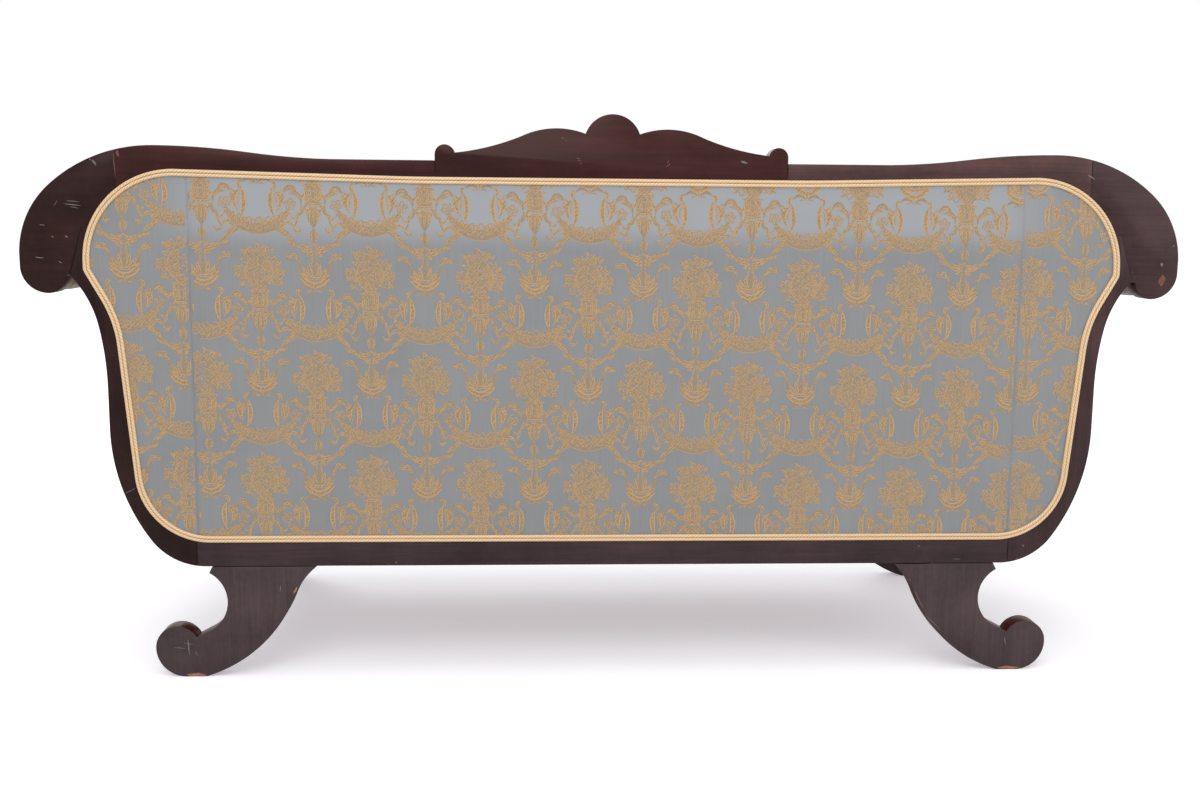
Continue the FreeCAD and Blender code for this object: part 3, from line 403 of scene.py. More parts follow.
cloth = {
    # the back's cloth carries the painted sheen band at its top
    "back": figuredGround("figuredSatinPaintedSheen", True),
    "plain": figuredGround("figuredSatin"),
    "gold": goldYarn("mercerisedGoldYarn", "#BE9A6C", "#B39067", "#8F7B62", 0.5),
    "deepGold": goldYarn("goldYarnOnGround", "#B69368", "#9F886C", "#897F73", 0.80),      # for wide shapes
    "cord": silkCord("twistedRayonCord"),
    "web": coarseWeave("juteWebbing", "#B59A6B", "#6E5632", 150.0, 0.85, 0.5),
    "hessian": coarseWeave("hessianCloth", "#B39A6E", "#5E4A2C", 210.0, 0.9, 0.6),
}
print("cloth materials made")


# The cloth's figure: one bouquet over an urn with its share of the lyres, scrolls and garlands beside it.
# A plain figure of its own in the neoclassical manner. Places in mm from the urn's mouth, up is plus.

figure = {
    "across": 181.0,      # bouquet to bouquet in a row
    "drop": 175.0,        # next row, moved half a step sideways
    "slope": 4.0,         # the cloth is a little off level, fall per step
    "proud": 0.12,        # mm the yarn stands over the ground at its edge
    "relief": 0.30,       # mm more at the midrib of a leaf
    "over": 0.12,         # mm the light leaves lie over the deep ones
    # start x, y, middle x, y, end x, y, width, shape; a deep shape is a wide one, barely filled
    "mirrored": [
        (12, -2, 11, -13, 7, -25, 4, "band"), (5.5, -2, 5, -13, 3.5, -25, 4, "band"),
        (9, -30, 12, -32, 15, -36, 4, "leaf"), (2, -38, 8, -48, 4, -64, 5, "leaf"),
        (3, -37, 9, -39, 12, -46, 5, "leaf"), (1, -72, 5, -79, 2, -92, 4, "leaf"),
        (1, -101, 5, -99, 8, -94, 4, "leaf"), (0, -106, 14, -105, 28, -99, 6, "leaf"),
        (1, -107, 8, -112, 15, -112, 5, "leaf"), (2, -109, 4, -120, 6, -131, 2.5, "band"),
        (12, -104, 17, -98, 23, -96, 4, "leaf"), (26, -12, 37, -3, 48, -11, 10, "deep"),
        (29, -10, 37, -5, 46, -12, 5, "leaf"), (46, -12, 51, -20, 47, -31, 6, "leaf"),
        (40, -12, 24, -15, 19, -30, 8, "deep"), (39, -12, 26, -15, 20, -28, 4, "leaf"),
        (19, -29, 19, -42, 29, -49, 7, "deep"), (19, -29, 20, -41, 28, -47, 3.5, "leaf"),
        (25, -44, 27, -58, 33, -68, 4, "band"), (33, -67, 26, -75, 18, -67, 5, "leaf"),
        (22, -18, 16, -16, 14, -10, 5, "leaf"), (18, -36, 12, -38, 11, -45, 4, "leaf"),
        (26, -52, 32, -53, 36, -48, 4, "leaf"), (44, 56, 50, 60, 56, 56, 10, "deep"),
        (45, 56, 50, 58.5, 55, 56, 5, "leaf"), (55, 56, 62, 55, 67, 49, 2.5, "band"),
        (64, -69, 48, -76, 32, -92, 10, "deep"), (62, -70, 50, -74, 44, -84, 5, "leaf"),
        (50, -79, 41, -82, 33, -91, 5, "leaf"), (40, -91, 30, -95, 19, -104, 7, "deep"),
        (37, -92, 29, -96, 20, -103, 3.5, "leaf"), (58, -66, 51, -63, 46, -66, 5, "leaf"),
        (44, -88, 38, -95, 31, -97, 4, "leaf"),
    ],
    "single": [
        (0, 2, 0, 34, 0, 68, 48, "deep"), (0, 1, 0, -12, 0, -29, 28, "deepBand"),
        (0, -34, 0, -48, 0, -70, 18, "deep"), (-17, 0.5, 0, 2.5, 17, 0.5, 4, "band"),
        (-14, -28, 0, -29.5, 14, -28, 4, "band"), (-13, -7, 0, -9, 13, -7, 2, "band"),
        (-12, -20, 0, -22, 12, -20, 2, "band"), (0, -36, 0, -48, 0, -62, 4, "leaf"),
        (0, -68, 0, -78, 0, -97, 6, "deep"), (-6, -33, 0, -35, 6, -33, 3, "band"),
        (-17, 62, -22, 68, -26, 70, 5, "leaf"), (20, 62, 26, 67, 30, 67, 5, "leaf"),
    ],
    # from the lyre's own middle line, also mirrored
    "lyre": [
        (4, 72, 12, 75, 21, 71, 5, "leaf"), (3, 55, 5, 64, 10, 76, 1.8, "band"),
        (19, 28, 24, 43, 27, 58, 5, "deepBand"), (27, 55, 33, 63, 39, 58, 5, "leaf"),
        (3, 25, 8, 38, 9, 50, 6, "leaf"), (7, 25, 15, 34, 19, 43, 6, "leaf"),
        (13, 25, 19, 29, 26, 33, 5, "leaf"), (2, 3, 12, 10, 24, 3, 6, "deep"),
        (3, 2, 8, 3, 13, 0, 3, "leaf"), (21, 5, 29, 2, 27, -9, 6, "leaf"),
        (26, -3, 21, -28, 27, -53, 9, "leaf"), (28, -9, 38, -24, 31, -44, 8, "leaf"),
        (32, -12, 38, -11, 41, -5, 4, "leaf"), (35, -25, 41, -23, 44, -17, 4, "leaf"),
        (27, -12, 31, -24, 30, -36, 2.5, "leaf"), (36, -53, 46, -47, 52, -34, 9, "deep"),
        (47, -42, 51, -43, 54, -49, 4, "leaf"), (34, -67, 41, -66, 47, -59, 5, "leaf"),
        (44, -60, 51, -60, 58, -66, 6, "leaf"),
    ],
    "lyreSingle": [
        (-23, 27, 0, 13, 23, 27, 9, "band"), (-19, 27.5, 0, 24, 19, 27.5, 5, "band"),
        (0, 25, 0, 40, 0, 55, 9, "deep"), (0, 15, 0, 9, 0, 0, 4, "leaf"),
        (-40, -55, 0, -72, 40, -55, 19, "deepBand"), (-4, 76, 0, 80, 4, 76, 3, "band"),
    ],
    # middle x, y, radius of a rose
    "roses": [
        (-4, 30, 14), (-24, 22, 11), (18, 20, 12), (-18, 46, 11), (12, 49, 11), (0, 8, 9), (-4, 68, 8),
        (30, 32, 10), (-32, 34, 8), (14, 66, 7), (37, -30, 8.5), (-37, -30, 8.5),
    ],
    "lyreRoses": [(0, -64, 11), (17, -62, 9.5), (-17, -62, 9.5), (31, -57, 8), (-31, -57, 8), (42, -50, 6),
                  (-42, -50, 6)],
    "sprigs": {"count": 16, "from": -26.0, "to": 206.0, "inner": 28.0, "outer": 38.0, "top": 12.0,
               "middle": (0.0, 29.0)},
}


def makeStrokeShape(name, pointed):
    # a strip of five by two faces, shaped as a leaf or an even band, midrib raised
    bpy.ops.object.select_all(action="DESELECT")
    bpy.ops.mesh.primitive_grid_add(x_subdivisions=5, y_subdivisions=2, size=1)
    strip = bpy.context.active_object
    strip.name = name
    shares = [0.08, 0.72, 1.0, 0.94, 0.62, 0.05] if pointed else [0.7, 1.0, 1.0, 1.0, 1.0, 0.7]
    bpy.ops.object.mode_set(mode="EDIT")
    for i, share in enumerate(shares):
        for rib in (False, True):
            bpy.ops.mesh.select_all(action="DESELECT")
            bpy.ops.object.mode_set(mode="OBJECT")
            for v in strip.data.vertices:
                column = round((v.co.x + 0.5) * 5) == i
                v.select = column and (abs(v.co.y) < 0.01) == rib
            bpy.ops.object.mode_set(mode="EDIT")
            bpy.ops.mesh.select_mode(type="VERT")
            if rib:
                bpy.ops.transform.translate(value=(0, 0, share))
            else:
                bpy.ops.transform.resize(value=(1, share, 1), center_override=(0, 0, 0))
    bpy.ops.object.mode_set(mode="OBJECT")
    verts = [v.co.copy() for v in strip.data.vertices]
    faces = [list(p.vertices) for p in strip.data.polygons]
    bpy.data.objects.remove(strip)
    return verts, faces


strokeShapes = {"leaf": makeStrokeShape("leafStrip", True), "band": makeStrokeShape("bandStrip", False)}
strokeShapes["deep"], strokeShapes["deepBand"] = strokeShapes["leaf"], strokeShapes["band"]


def placed(stroke, shift, side=1):
    # a stroke moved sideways, and mirrored where side is -1
    x0, y0, xm, ym, x1, y1, width, shape = stroke
    return shift + side * x0, y0, shift + side * xm, ym, shift + side * x1, y1, width, shape


def petals(cx, cy, radius):
    # a rose: an outer ring of arcs, an inner one turned by half a petal, and the heart
    strokes = []
    for count, inner, outer, width in ((5, 0.72, 1.12, 2.4), (3, 0.34, 0.62, 2.2)):
        for k in range(count):
            a0 = math.tau * (k + 0.13 * cx) / count
            a1 = a0 + math.tau / count
            am = (a0 + a1) / 2
            strokes.append((cx + inner * radius * math.cos(a0), cy + inner * radius * math.sin(a0),
                            cx + outer * radius * math.cos(am), cy + outer * radius * math.sin(am),
                            cx + inner * radius * math.cos(a1), cy + inner * radius * math.sin(a1),
                            width, "band"))
    heart = 0.15 * radius
    return strokes + [(cx - heart, cy, cx, cy + 0.1 * radius, cx + heart, cy, 0.25 * radius, "band")]


def sprigRing(ring):
    # the leaves that stand out round the bouquet, every second one longer and the top ones longest
    strokes = []
    mx, my = ring["middle"]
    for k in range(ring["count"]):
        turn = math.radians(ring["from"] + (ring["to"] - ring["from"]) * k / (ring["count"] - 1))
        reach = ring["outer"] + (4.0 if k % 2 else 0.0) + ring["top"] * max(0.0, math.sin(turn)) ** 6
        bend = turn + (0.10 if k % 3 else -0.08)
        inner = ring["inner"] * reach / ring["outer"]
        strokes.append((mx + inner * math.cos(turn), my + inner * math.sin(turn),
                        mx + 0.88 * reach * math.cos(bend), my + 0.88 * reach * math.sin(bend),
                        mx + reach * math.cos(turn), my + reach * math.sin(turn), 5.5, "leaf"))
    return strokes


def drawUnit():
    # every stroke of one repeat, flat: points (x, y, lift in mm), faces, each face's tone and what is edge
    step = figure["across"] / 2
    strokes = [placed(row, 0.0, side) for row in figure["mirrored"] for side in (1, -1)] + figure["single"]
    strokes += [placed(row, step, side) for row in figure["lyre"] for side in (1, -1)]
    strokes += [placed(row, step) for row in figure["lyreSingle"]]
    for roses, shift in (("roses", 0.0), ("lyreRoses", step)):
        for rose in figure[roses]:
            strokes += [placed(row, shift) for row in petals(*rose)]
    strokes += sprigRing(figure["sprigs"])
    points, faces, tones, edges = [], [], [], []
    for x0, y0, xm, ym, x1, y1, width, shape in strokes:
        cx, cy = 2 * xm - (x0 + x1) / 2, 2 * ym - (y0 + y1) / 2
        verts, polys = strokeShapes[shape]
        deep = shape.startswith("deep")
        first = len(points)
        for v in verts:
            t = v.x + 0.5
            x = (1 - t) ** 2 * x0 + 2 * t * (1 - t) * cx + t * t * x1
            y = (1 - t) ** 2 * y0 + 2 * t * (1 - t) * cy + t * t * y1
            dx = 2 * (1 - t) * (cx - x0) + 2 * t * (x1 - cx)
            dy = 2 * (1 - t) * (cy - y0) + 2 * t * (y1 - cy)
            size = math.hypot(dx, dy) or 1.0
            lift = 0.3 * figure["relief"] * v.z if deep else figure["over"] + figure["relief"] * v.z
            points.append((x - dy / size * v.y * width, y + dx / size * v.y * width, lift))
            edges.append(1.0 if abs(v.y) > 0.01 else 0.0)
        faces += [[first + i for i in p] for p in polys]
        tones += [1 if deep else 0] * len(polys)
    return points, faces, tones, edges


unitPoints, unitFaces, unitTones, unitEdges = drawUnit()
print("one repeat of the figure:", len(unitFaces), "faces")


def layFigure(name, origins, onto, slopeSign=1.0):
    # onto(u, v, lift) gives the place on the cloth of a flat point in metres, or None where the cloth ends
    verts, faces, flats, tones, edges = [], [], [], [], []
    for ou, ov in origins:
        index = {}
        for i, (x, y, lift) in enumerate(unitPoints):
            u, v = ou + x * mm, ov + y * mm + figure["slope"] / figure["across"] * x * mm * slopeSign
            spot = onto(u, v, (figure["proud"] + lift) * mm)
            if spot is not None:
                index[i] = len(verts)
                verts.append(spot)
                flats.append((u, v))
                edges.append(unitEdges[i])
        for p, tone in zip(unitFaces, unitTones):
            if all(i in index for i in p):
                faces.append([index[i] for i in p])
                tones.append(tone)
    piece = pieceFrom(name, verts, faces)
    mesh = piece.data
    setUv(mesh, flats)
    mesh.materials.append(cloth["gold"])
    mesh.materials.append(cloth["deepGold"])
    mesh.polygons.foreach_set("material_index", tones)
    mesh.attributes.new("edge", "FLOAT", "POINT").data.foreach_set("value", edges)
    # the faces look outwards: the first one is compared with the way the yarn is lifted
    u, v = flats[faces[0][0]]
    if mesh.polygons[0].normal.dot(onto(u, v, mm) - onto(u, v, 0.0)) < 0:
        mesh.flip_normals()
    editAll(piece, bpy.ops.mesh.delete_loose)        # points of the faces that the cloth's end cuts off
    bpy.ops.object.shade_smooth()
    return piece


def repeatOrigins(startU, startV, uRange, vRange, slopeSign=1.0):
    origins = []
    step, drop = figure["across"] * mm, figure["drop"] * mm
    for row in range(-8, 9):
        for column in range(-8, 9):
            u = startU + column * step + (row % 2) * step / 2
            v = startV - row * drop + slopeSign * figure["slope"] * mm * (u - startU) / step
            if uRange[0] - 0.12 < u < uRange[1] + 0.08 and vRange[0] - 0.1 < v < vRange[1] + 0.14:
                origins.append((u, v))
    return origins


# The outside back: three widths of cloth, seamed, tacked inside the boards' line

backCloth = {
    "corners": [(0, 235.5, 0), (785, 235.5, 123), (818, 609.5, 190), (864, 692.5, 18), (864, 861, 151),
                (330, 849, 4000), (0, 849, 0)],      # x, z, corner radius
    "face": 313.3,                 # y of the cloth's outer face where it lies on the boards
    "hollow": 2.2,                 # how far it sinks between the rails
    "span": (233.0, 860.0),        # the uncut widths, from below the outline to above it
    "endX": 863.8,
    "flatHeight": 0.622,           # m, of each width
    "seamX": 694.5,
    "seamRoll": 1.3,
    "cell": 6.0,
    "thick": 1.1,
}


def roundedPath(corners, stepLength):
    # straight runs and arcs through the corners, as evenly spaced points
    points = []
    for i, (x, z, radius) in enumerate(corners):
        here = Vector((x, z))
        if radius <= 0 or i in (0, len(corners) - 1):
            points.append(here)
            continue
        before = (Vector(corners[i - 1][:2]) - here).normalized()
        after = (Vector(corners[i + 1][:2]) - here).normalized()
        half = before.angle(after) / 2
        reach = radius / math.tan(half)
        centre = here + (before + after).normalized() * (radius / math.sin(half))
        a, b = here + before * reach - centre, here + after * reach - centre
        turn = a.angle_signed(b)
        count = max(3, int(abs(turn) * radius / stepLength))
        points += [centre + Matrix.Rotation(-turn * k / count, 2) @ a for k in range(count + 1)]
    even = [points[0]]
    for a, b in zip(points, points[1:]):
        n = max(1, int((b - a).length / stepLength))
        even += [a.lerp(b, k / n) for k in range(1, n + 1)]
    return even


rightHalf = roundedPath(backCloth["corners"], 2.0)
backLine = rightHalf + [Vector((-p.x, p.y)) for p in reversed(rightHalf[1:-1])]
backLine = [Vector((p.x * mm, p.y * mm)) for p in backLine]
backTree = KDTree(len(backLine))
for i, p in enumerate(backLine):
    backTree.insert((p.x, 0.0, p.y), i)
backTree.balance()
lowSide = sorted((abs(p.x), p.y) for p in rightHalf if p.y < 700 and p.x >= 0)
highSide = sorted((abs(p.x), p.y) for p in rightHalf if p.y > 700 and p.x >= 0)


def heightOn(side, x):
    i = bisect.bisect_left(side, (x, -1.0))
    if i <= 0:
        return side[0][1]
    if i >= len(side):
        return side[-1][1]
    (x0, z0), (x1, z1) = side[i - 1], side[i]
    return z0 if x1 - x0 < 1e-6 else z0 + (z1 - z0) * (x - x0) / (x1 - x0)


def insideBack(x, z, margin=0.0):
    # mm, the outline is one valued in x
    ax = abs(x)
    if ax > 863.5 - margin:
        return False
    return heightOn(lowSide, ax) + margin < z < heightOn(highSide, ax) - margin


def smoothStep(a, b, t):
    t = min(1.0, max(0.0, (t - a) / (b - a)))
    return t * t * (3 - 2 * t)


def backFace(x, z):
    # y of the outer face, in mm: flat on the boards, slightly hollow inside them, drawn in at the seams
    ax = abs(x)
    inX = 1.0 - smoothStep(600, 790, ax)
    inZ = smoothStep(285, 380, z) * (1.0 - smoothStep(690, 770, z))
    y = backCloth["face"] - backCloth["hollow"] * inX * inZ
    wave = noise.noise(Vector((x * 0.004, z * 0.009, 3.1)))
    wave += 0.5 * noise.noise(Vector((x * 0.015, z * 0.006, 8.0)))
    y -= 0.35 * (0.5 + wave) * inZ
    seam = ax - backCloth["seamX"]
    pucker = 1.0 + 0.5 * noise.noise(Vector((0.0, z * 0.05, 1.0)))
    y -= 0.45 * pucker * math.exp(-(seam / 7.0) ** 2)
    y -= backCloth["seamRoll"] * math.exp(-(seam / 1.5) ** 2)
    return y


def backSheet(name, x0, x1, node):
    z0, z1 = backCloth["span"]
    nx, nz = round((x1 - x0) / backCloth["cell"]), round((z1 - z0) / backCloth["cell"])
    bpy.ops.object.select_all(action="DESELECT")
    bpy.ops.mesh.primitive_grid_add(x_subdivisions=nx, y_subdivisions=nz, size=1)
    piece = bpy.context.active_object
    piece.name = name
    mesh = piece.data
    outside = set()
    for v in mesh.vertices:
        x, z = x0 + (v.co.x + 0.5) * (x1 - x0), z0 + (v.co.y + 0.5) * (z1 - z0)
        # the last columns are drawn close to the seam, for its rolled edge
        for edge in (x0, x1):
            if abs(abs(edge) - backCloth["seamX"]) < 1 and 0.1 < abs(x - edge) < 15:
                x = edge + (x - edge) * (0.25 if abs(x - edge) < 9 else 0.45)
        if not insideBack(x, z):
            outside.add(v.index)
        v.co = (x * mm, 0.0, z * mm)
    selectFaces(piece, lambda p: all(i in outside for i in p.vertices))
    bpy.ops.mesh.delete(type="FACE")
    bpy.ops.object.mode_set(mode="OBJECT")
    for v in mesh.vertices:
        x, z = v.co.x / mm, v.co.z / mm
        if not insideBack(x, z):
            spot = backTree.find(v.co)[0]
            x = min(max(spot.x / mm, x0), x1) if abs(spot.x / mm - x) < 14 else x
            z = spot.z / mm
        v.co = (x * mm, backFace(x, z) * mm, z * mm)
    editAll(piece, bpy.ops.mesh.flip_normals)
    setUv(mesh, [(v.co.x, v.co.z) for v in mesh.vertices])
    flatArea = sum(p.area for p in mesh.polygons)
    applyModifier(piece, "SOLIDIFY", thickness=backCloth["thick"] * mm, offset=-1.0)
    piece.data.materials.append(cloth["back"])
    bpy.ops.object.shade_smooth_by_angle(angle=math.radians(60))
    settle(piece, "figured_cloth", node)
    return piece, flatArea


def onBack(x0, x1):
    def onto(u, v, lift):
        x, z = u / mm, v / mm
        if not x0 + 1.0 < x < x1 - 1.0 or not insideBack(x, z, 4.0):
            return None
        return Vector((u, backFace(x, z) * mm + lift, v))
    return onto


seam, end = backCloth["seamX"], backCloth["endX"]
for name, x0, x1, node, start in (("backClothMiddle", -seam, seam, "back_cover_center", (37.5, 647.0)),
                                  ("backClothLeft", seam, end, "back_cover_left", (707.0, 670.0)),
                                  ("backClothRight", -end, -seam, "back_cover_right", (-712.0, 646.0))):
    sheetPiece, area = backSheet(name, x0, x1, node)
    origins = repeatOrigins(start[0] * mm, start[1] * mm, (x0 * mm, x1 * mm), (0.23, 0.86))
    yarn = layFigure(name + "Figure", origins, onBack(x0, x1))
    settle(yarn, "figured_cloth")
print("back cloth laid")


# Cords: two twisted cords side by side make the gimp

gimp = {
    "radius": 2.9,       # mm, of one cord
    "pitch": 6.0,        # mm, one full twist
    "strands": 3,
    "groove": 0.06,      # depth of the hollows between strands, as a share of the radius
    "step": 1.5,         # from one ring of the outside back's cords to the next
    "coarse": 2.0,       # the same for the inner cords
    "backInsets": (3.1, 8.9),       # from the cloth's outline to each cord
    "apart": 5.8,
}


def evenPath(points, stepLength, closed):
    if closed:
        points = points + [points[0]]
    spots, travelled = [points[0]], 0.0
    for a, b in zip(points, points[1:]):
        length = (b - a).length
        while travelled + length >= stepLength and length > 1e-9:
            a = a.lerp(b, (stepLength - travelled) / length)
            spots.append(a)
            length = (b - a).length
            travelled = 0.0
        travelled += length
    if closed and (spots[-1] - spots[0]).length < stepLength * 0.6:
        spots.pop()
    return spots


def twistedCord(verts, faces, turns, flats, points, ups, closed, sides):
    # one tube along the points, its section three lobes that turn as it runs
    count = len(points)
    first = len(verts)
    radius = gimp["radius"] * mm
    run = 0.0
    for i, spot in enumerate(points):
        before = points[i - 1] if i or closed else spot
        after = points[(i + 1) % count] if i + 1 < count or closed else spot
        ahead = (after - before).normalized()
        up = ups[i]
        side = ahead.cross(up).normalized()
        up = side.cross(ahead)
        run += (spot - before).length if i else 0.0
        twist = math.tau * run / (gimp["pitch"] * mm)
        for k in range(sides):
            angle = math.tau * k / sides
            lobe = math.cos(gimp["strands"] * angle - twist)
            reach = radius * (1.0 - gimp["groove"] * (0.5 - 0.5 * lobe))
            verts.append(spot + side * (math.cos(angle) * reach) + up * (math.sin(angle) * reach))
            # 1 on a strand's crown, 0 in the groove between strands: the cord's material paints highlight and shade
            # from it
            turns.append(0.5 + 0.5 * lobe)
            flats.append((run, angle * radius))
    for i in range(count if closed else count - 1):
        a, b = first + i * sides, first + ((i + 1) % count) * sides
        for k in range(sides):
            n = (k + 1) % sides
            faces.append([a + k, b + k, b + n, a + n])
    if not closed:
        last = first + (count - 1) * sides
        faces.append([first + k for k in range(sides)])
        faces.append([last + k for k in reversed(range(sides))])


def cordPiece(name, runs, node, sides=7):
    # runs: lists of (points, ups, closed)
    verts, faces, turns, flats = [], [], [], []
    for points, ups, closed in runs:
        twistedCord(verts, faces, turns, flats, points, ups, closed, sides)
    piece = pieceFrom(name, verts, faces)
    mesh = piece.data
    mesh.attributes.new("turn", "FLOAT", "POINT").data.foreach_set("value", turns)
    setUv(mesh, flats)
    mesh.materials.append(cloth["cord"])
    onlySelect(piece)
    bpy.ops.object.shade_smooth()
    editAll(piece, bpy.ops.mesh.normals_make_consistent, inside=False)
    settle(piece, "gold_gimp", node)


def insetLine(line, amount):
    # the closed line moved inwards, in metres
    moved, count = [], len(line)
    for i, p in enumerate(line):
        along = (line[(i + 1) % count] - line[i - 1]).normalized()
        moved.append(p + Vector((-along.y, along.x)) * amount)
    return moved


def backRun(inset):
    line = insetLine(backLine, inset * mm)
    y = (backCloth["face"] + 0.75 * gimp["radius"] - 0.6) * mm
    spots = evenPath([Vector((p.x, y, p.y)) for p in line], gimp["step"] * mm, True)
    return spots, [Vector((0, 1, 0))] * len(spots), True


cordPiece("backGimp", [backRun(inset) for inset in gimp["backInsets"]], "gimp_back", 9)
print("back gimp laid")


# Padded pieces: seat, back pad and arms swell under pressure in a short cloth simulation

pads = {
    "seat": {"nodes": ["seat_cover", "seat_stuffing"], "voxel": 10.0, "pressure": 4.0, "cap": 6.0, "fill": 0.7},
    "back": {"nodes": ["back_pad"], "voxel": 10.0, "pressure": 4.0, "cap": 5.0, "fill": 0.6},
    "arm": {"nodes": ["arm_pad_left"], "voxel": 8.0, "pressure": 3.0, "cap": 5.0, "fill": 0.65},
    "frames": 20,
}


def joinedCopy(name, nodes):
    pieces = [copyOf(node, name + str(i)) for i, node in enumerate(nodes)]
    bpy.ops.object.select_all(action="DESELECT")
    for piece in pieces:
        piece.select_set(True)
    bpy.context.view_layer.objects.active = pieces[0]
    if len(pieces) > 1:
        bpy.ops.object.join()
    pieces[0].name = name
    return pieces[0]


def swell(piece, settings, freedom):
    # freedom(place, normal) from 0, held by a board or by its neighbour, to 1, free to swell
    rest = [v.co.copy() for v in piece.data.vertices]
    loose = [freedom(v.co, v.normal) for v in piece.data.vertices]
    onlySelect(piece)
    modifier = piece.modifiers.new("swell", "CLOTH")
    modifier.settings.use_pressure = True
    modifier.settings.uniform_pressure_force = settings["pressure"]
    modifier.settings.effector_weights.gravity = 0.0
    modifier.settings.quality = 3
    modifier.point_cache.frame_start = 1
    modifier.point_cache.frame_end = pads["frames"]
    for number in range(1, pads["frames"] + 1):
        scene.frame_set(number)
    posed = piece.evaluated_get(bpy.context.evaluated_depsgraph_get())
    moved = [v.co.copy() for v in posed.data.vertices]
    piece.modifiers.remove(modifier)
    cap = settings["cap"] * mm
    for v, start, end, share in zip(piece.data.vertices, rest, moved, loose):
        step = end - start
        if step.length > cap:
            step = step.normalized() * cap
        v.co = start + step * share
    scene.frame_set(1)


def paddedPiece(name, settings, freedom, rounds):
    piece = joinedCopy(name, settings["nodes"])
    piece.data.remesh_voxel_size = settings["voxel"] * mm
    onlySelect(piece)
    bpy.ops.object.voxel_remesh()
    applyModifier(piece, "SMOOTH", factor=0.5, iterations=rounds)
    swell(piece, settings, freedom)
    applyModifier(piece, "SMOOTH", factor=0.5, iterations=5)
    applyModifier(piece, "SUBSURF", levels=1, render_levels=1)
    bpy.ops.object.shade_smooth()
    piece.data.materials.clear()
    piece.data.materials.append(cloth["plain"])
    return piece


class Profile:
    # a smooth line in a plane, for cloth curved one way: place and outward normal by length along it
    def __init__(self, points, stepLength=4.0):
        self.points = []
        count = len(points)
        for i in range(count - 1):
            p0 = Vector(points[max(0, i - 1)])
            p1, p2 = Vector(points[i]), Vector(points[i + 1])
            p3 = Vector(points[min(count - 1, i + 2)])
            n = max(1, int((p2 - p1).length / stepLength))
            for k in range(n):
                t = k / n
                self.points.append(0.5 * ((2 * p1) + (p2 - p0) * t + (2 * p0 - 5 * p1 + 4 * p2 - p3) * t * t
                                          + (3 * p1 - p0 - 3 * p2 + p3) * t * t * t))
        self.points.append(Vector(points[-1]))
        self.lengths = [0.0]
        for a, b in zip(self.points, self.points[1:]):
            self.lengths.append(self.lengths[-1] + (b - a).length)
        self.total = self.lengths[-1]

    def at(self, s):
        s = min(max(s, 0.0), self.total - 1e-6)
        i = bisect.bisect_right(self.lengths, s) - 1
        i = min(i, len(self.points) - 2)
        t = (s - self.lengths[i]) / max(1e-9, self.lengths[i + 1] - self.lengths[i])
        a, b = self.points[i], self.points[i + 1]
        before, after = self.points[max(0, i - 2)], self.points[min(len(self.points) - 1, i + 3)]
        along = (after - before).normalized()
        return a.lerp(b, t), Vector((along.y, -along.x))


def profileUv(piece, profile, toPlane, across):
    # flat coordinates of a padded piece: across it, and along its profile
    tree = KDTree(len(profile.points))
    for i, p in enumerate(profile.points):
        tree.insert((p.x, p.y, 0.0), i)
    tree.balance()
    mesh = piece.data
    flats = []
    for v in mesh.vertices:
        px, pz = toPlane(v.co)
        i = tree.find((px, pz, 0.0))[1]
        flats.append((across(v.co), profile.lengths[i] * mm))
    while mesh.uv_layers:
        mesh.uv_layers.remove(mesh.uv_layers[0])
    setUv(mesh, flats)


def surfaceOf(piece):
    bm = bmesh.new()
    bm.from_mesh(piece.data)
    tree = BVHTree.FromBMesh(bm)
    bm.free()
    return tree


# The seat: sprung edge at the front, crowned over the middle

def seatFree(co, normal):
    top = smoothStep(0.30, 0.8, normal.z)
    front = smoothStep(0.5, 0.9, -normal.y) * 0.5
    edge = smoothStep(0.0, 0.05, 0.229 - co.y) * smoothStep(0.0, 0.05, 0.72 - abs(co.x))
    return max(top, front) * edge


seatPiece = paddedPiece("seatPad", pads["seat"], seatFree, 6)
seatLine = Profile([(229, 428), (150, 436), (0, 441), (-150, 438), (-250, 430), (-290, 417), (-306, 396),
                    (-309, 360), (-308, 294)])
profileUv(seatPiece, seatLine, lambda co: (co.y / mm, co.z / mm), lambda co: co.x)
settle(seatPiece, "figured_cloth", "seat_cover", "seat_stuffing")
print("seat made", len(seatPiece.data.polygons))


# The inside back pad

def backPadFree(co, normal):
    return smoothStep(0.2, 0.7, -normal.y)


backPad = paddedPiece("backPad", pads["back"], backPadFree, 6)
backPadLine = Profile([(277, 847), (262, 845), (240, 820), (231, 740), (229, 620), (230, 500), (232, 398)])
profileUv(backPad, backPadLine, lambda co: (co.y / mm, co.z / mm), lambda co: co.x)
settle(backPad, "figured_cloth", "back_pad")
print("back pad made", len(backPad.data.polygons))


# The arms: padding from the lobe's underside over the scroll and down to the seat

armLine = Profile([(901, 683), (903, 674), (911, 665), (921, 662), (937, 665), (950, 674), (958, 688),
                   (960, 700), (961, 716), (957, 747), (947, 777), (932, 804), (911, 827), (883, 848),
                   (853, 866), (820, 879), (800, 884), (783, 883), (767, 876), (755, 862), (749, 846),
                   (749, 830), (761, 756), (769, 679), (771, 608), (768, 545), (759, 482), (752, 450),
                   (735, 376), (718, 303)])


def armFree(co, normal):
    ends = smoothStep(0.0, 0.05, 0.27 - abs(co.y + 0.001))
    return ends


armPad = paddedPiece("armPadLeft", pads["arm"], armFree, 5)
profileUv(armPad, armLine, lambda co: (co.x / mm, co.z / mm), lambda co: co.y)
settle(armPad, "figured_cloth", "arm_pad_left")


def mirroredPiece(piece, name, *nodes):
    other = bpy.data.objects.new(name, piece.data.copy())
    scene.collection.objects.link(other)
    other.data.transform(Matrix.Scale(-1, 4, (1, 0, 0)))
    editAll(other, bpy.ops.mesh.flip_normals)
    settle(other, "figured_cloth", *nodes)
    return other


armPadRight = mirroredPiece(armPad, "armPadRight", "arm_pad_right")
print("arm pads made", len(armPad.data.polygons))


# The arms' outside cloth: one sheet each, from under the scroll down to the foot of the stile

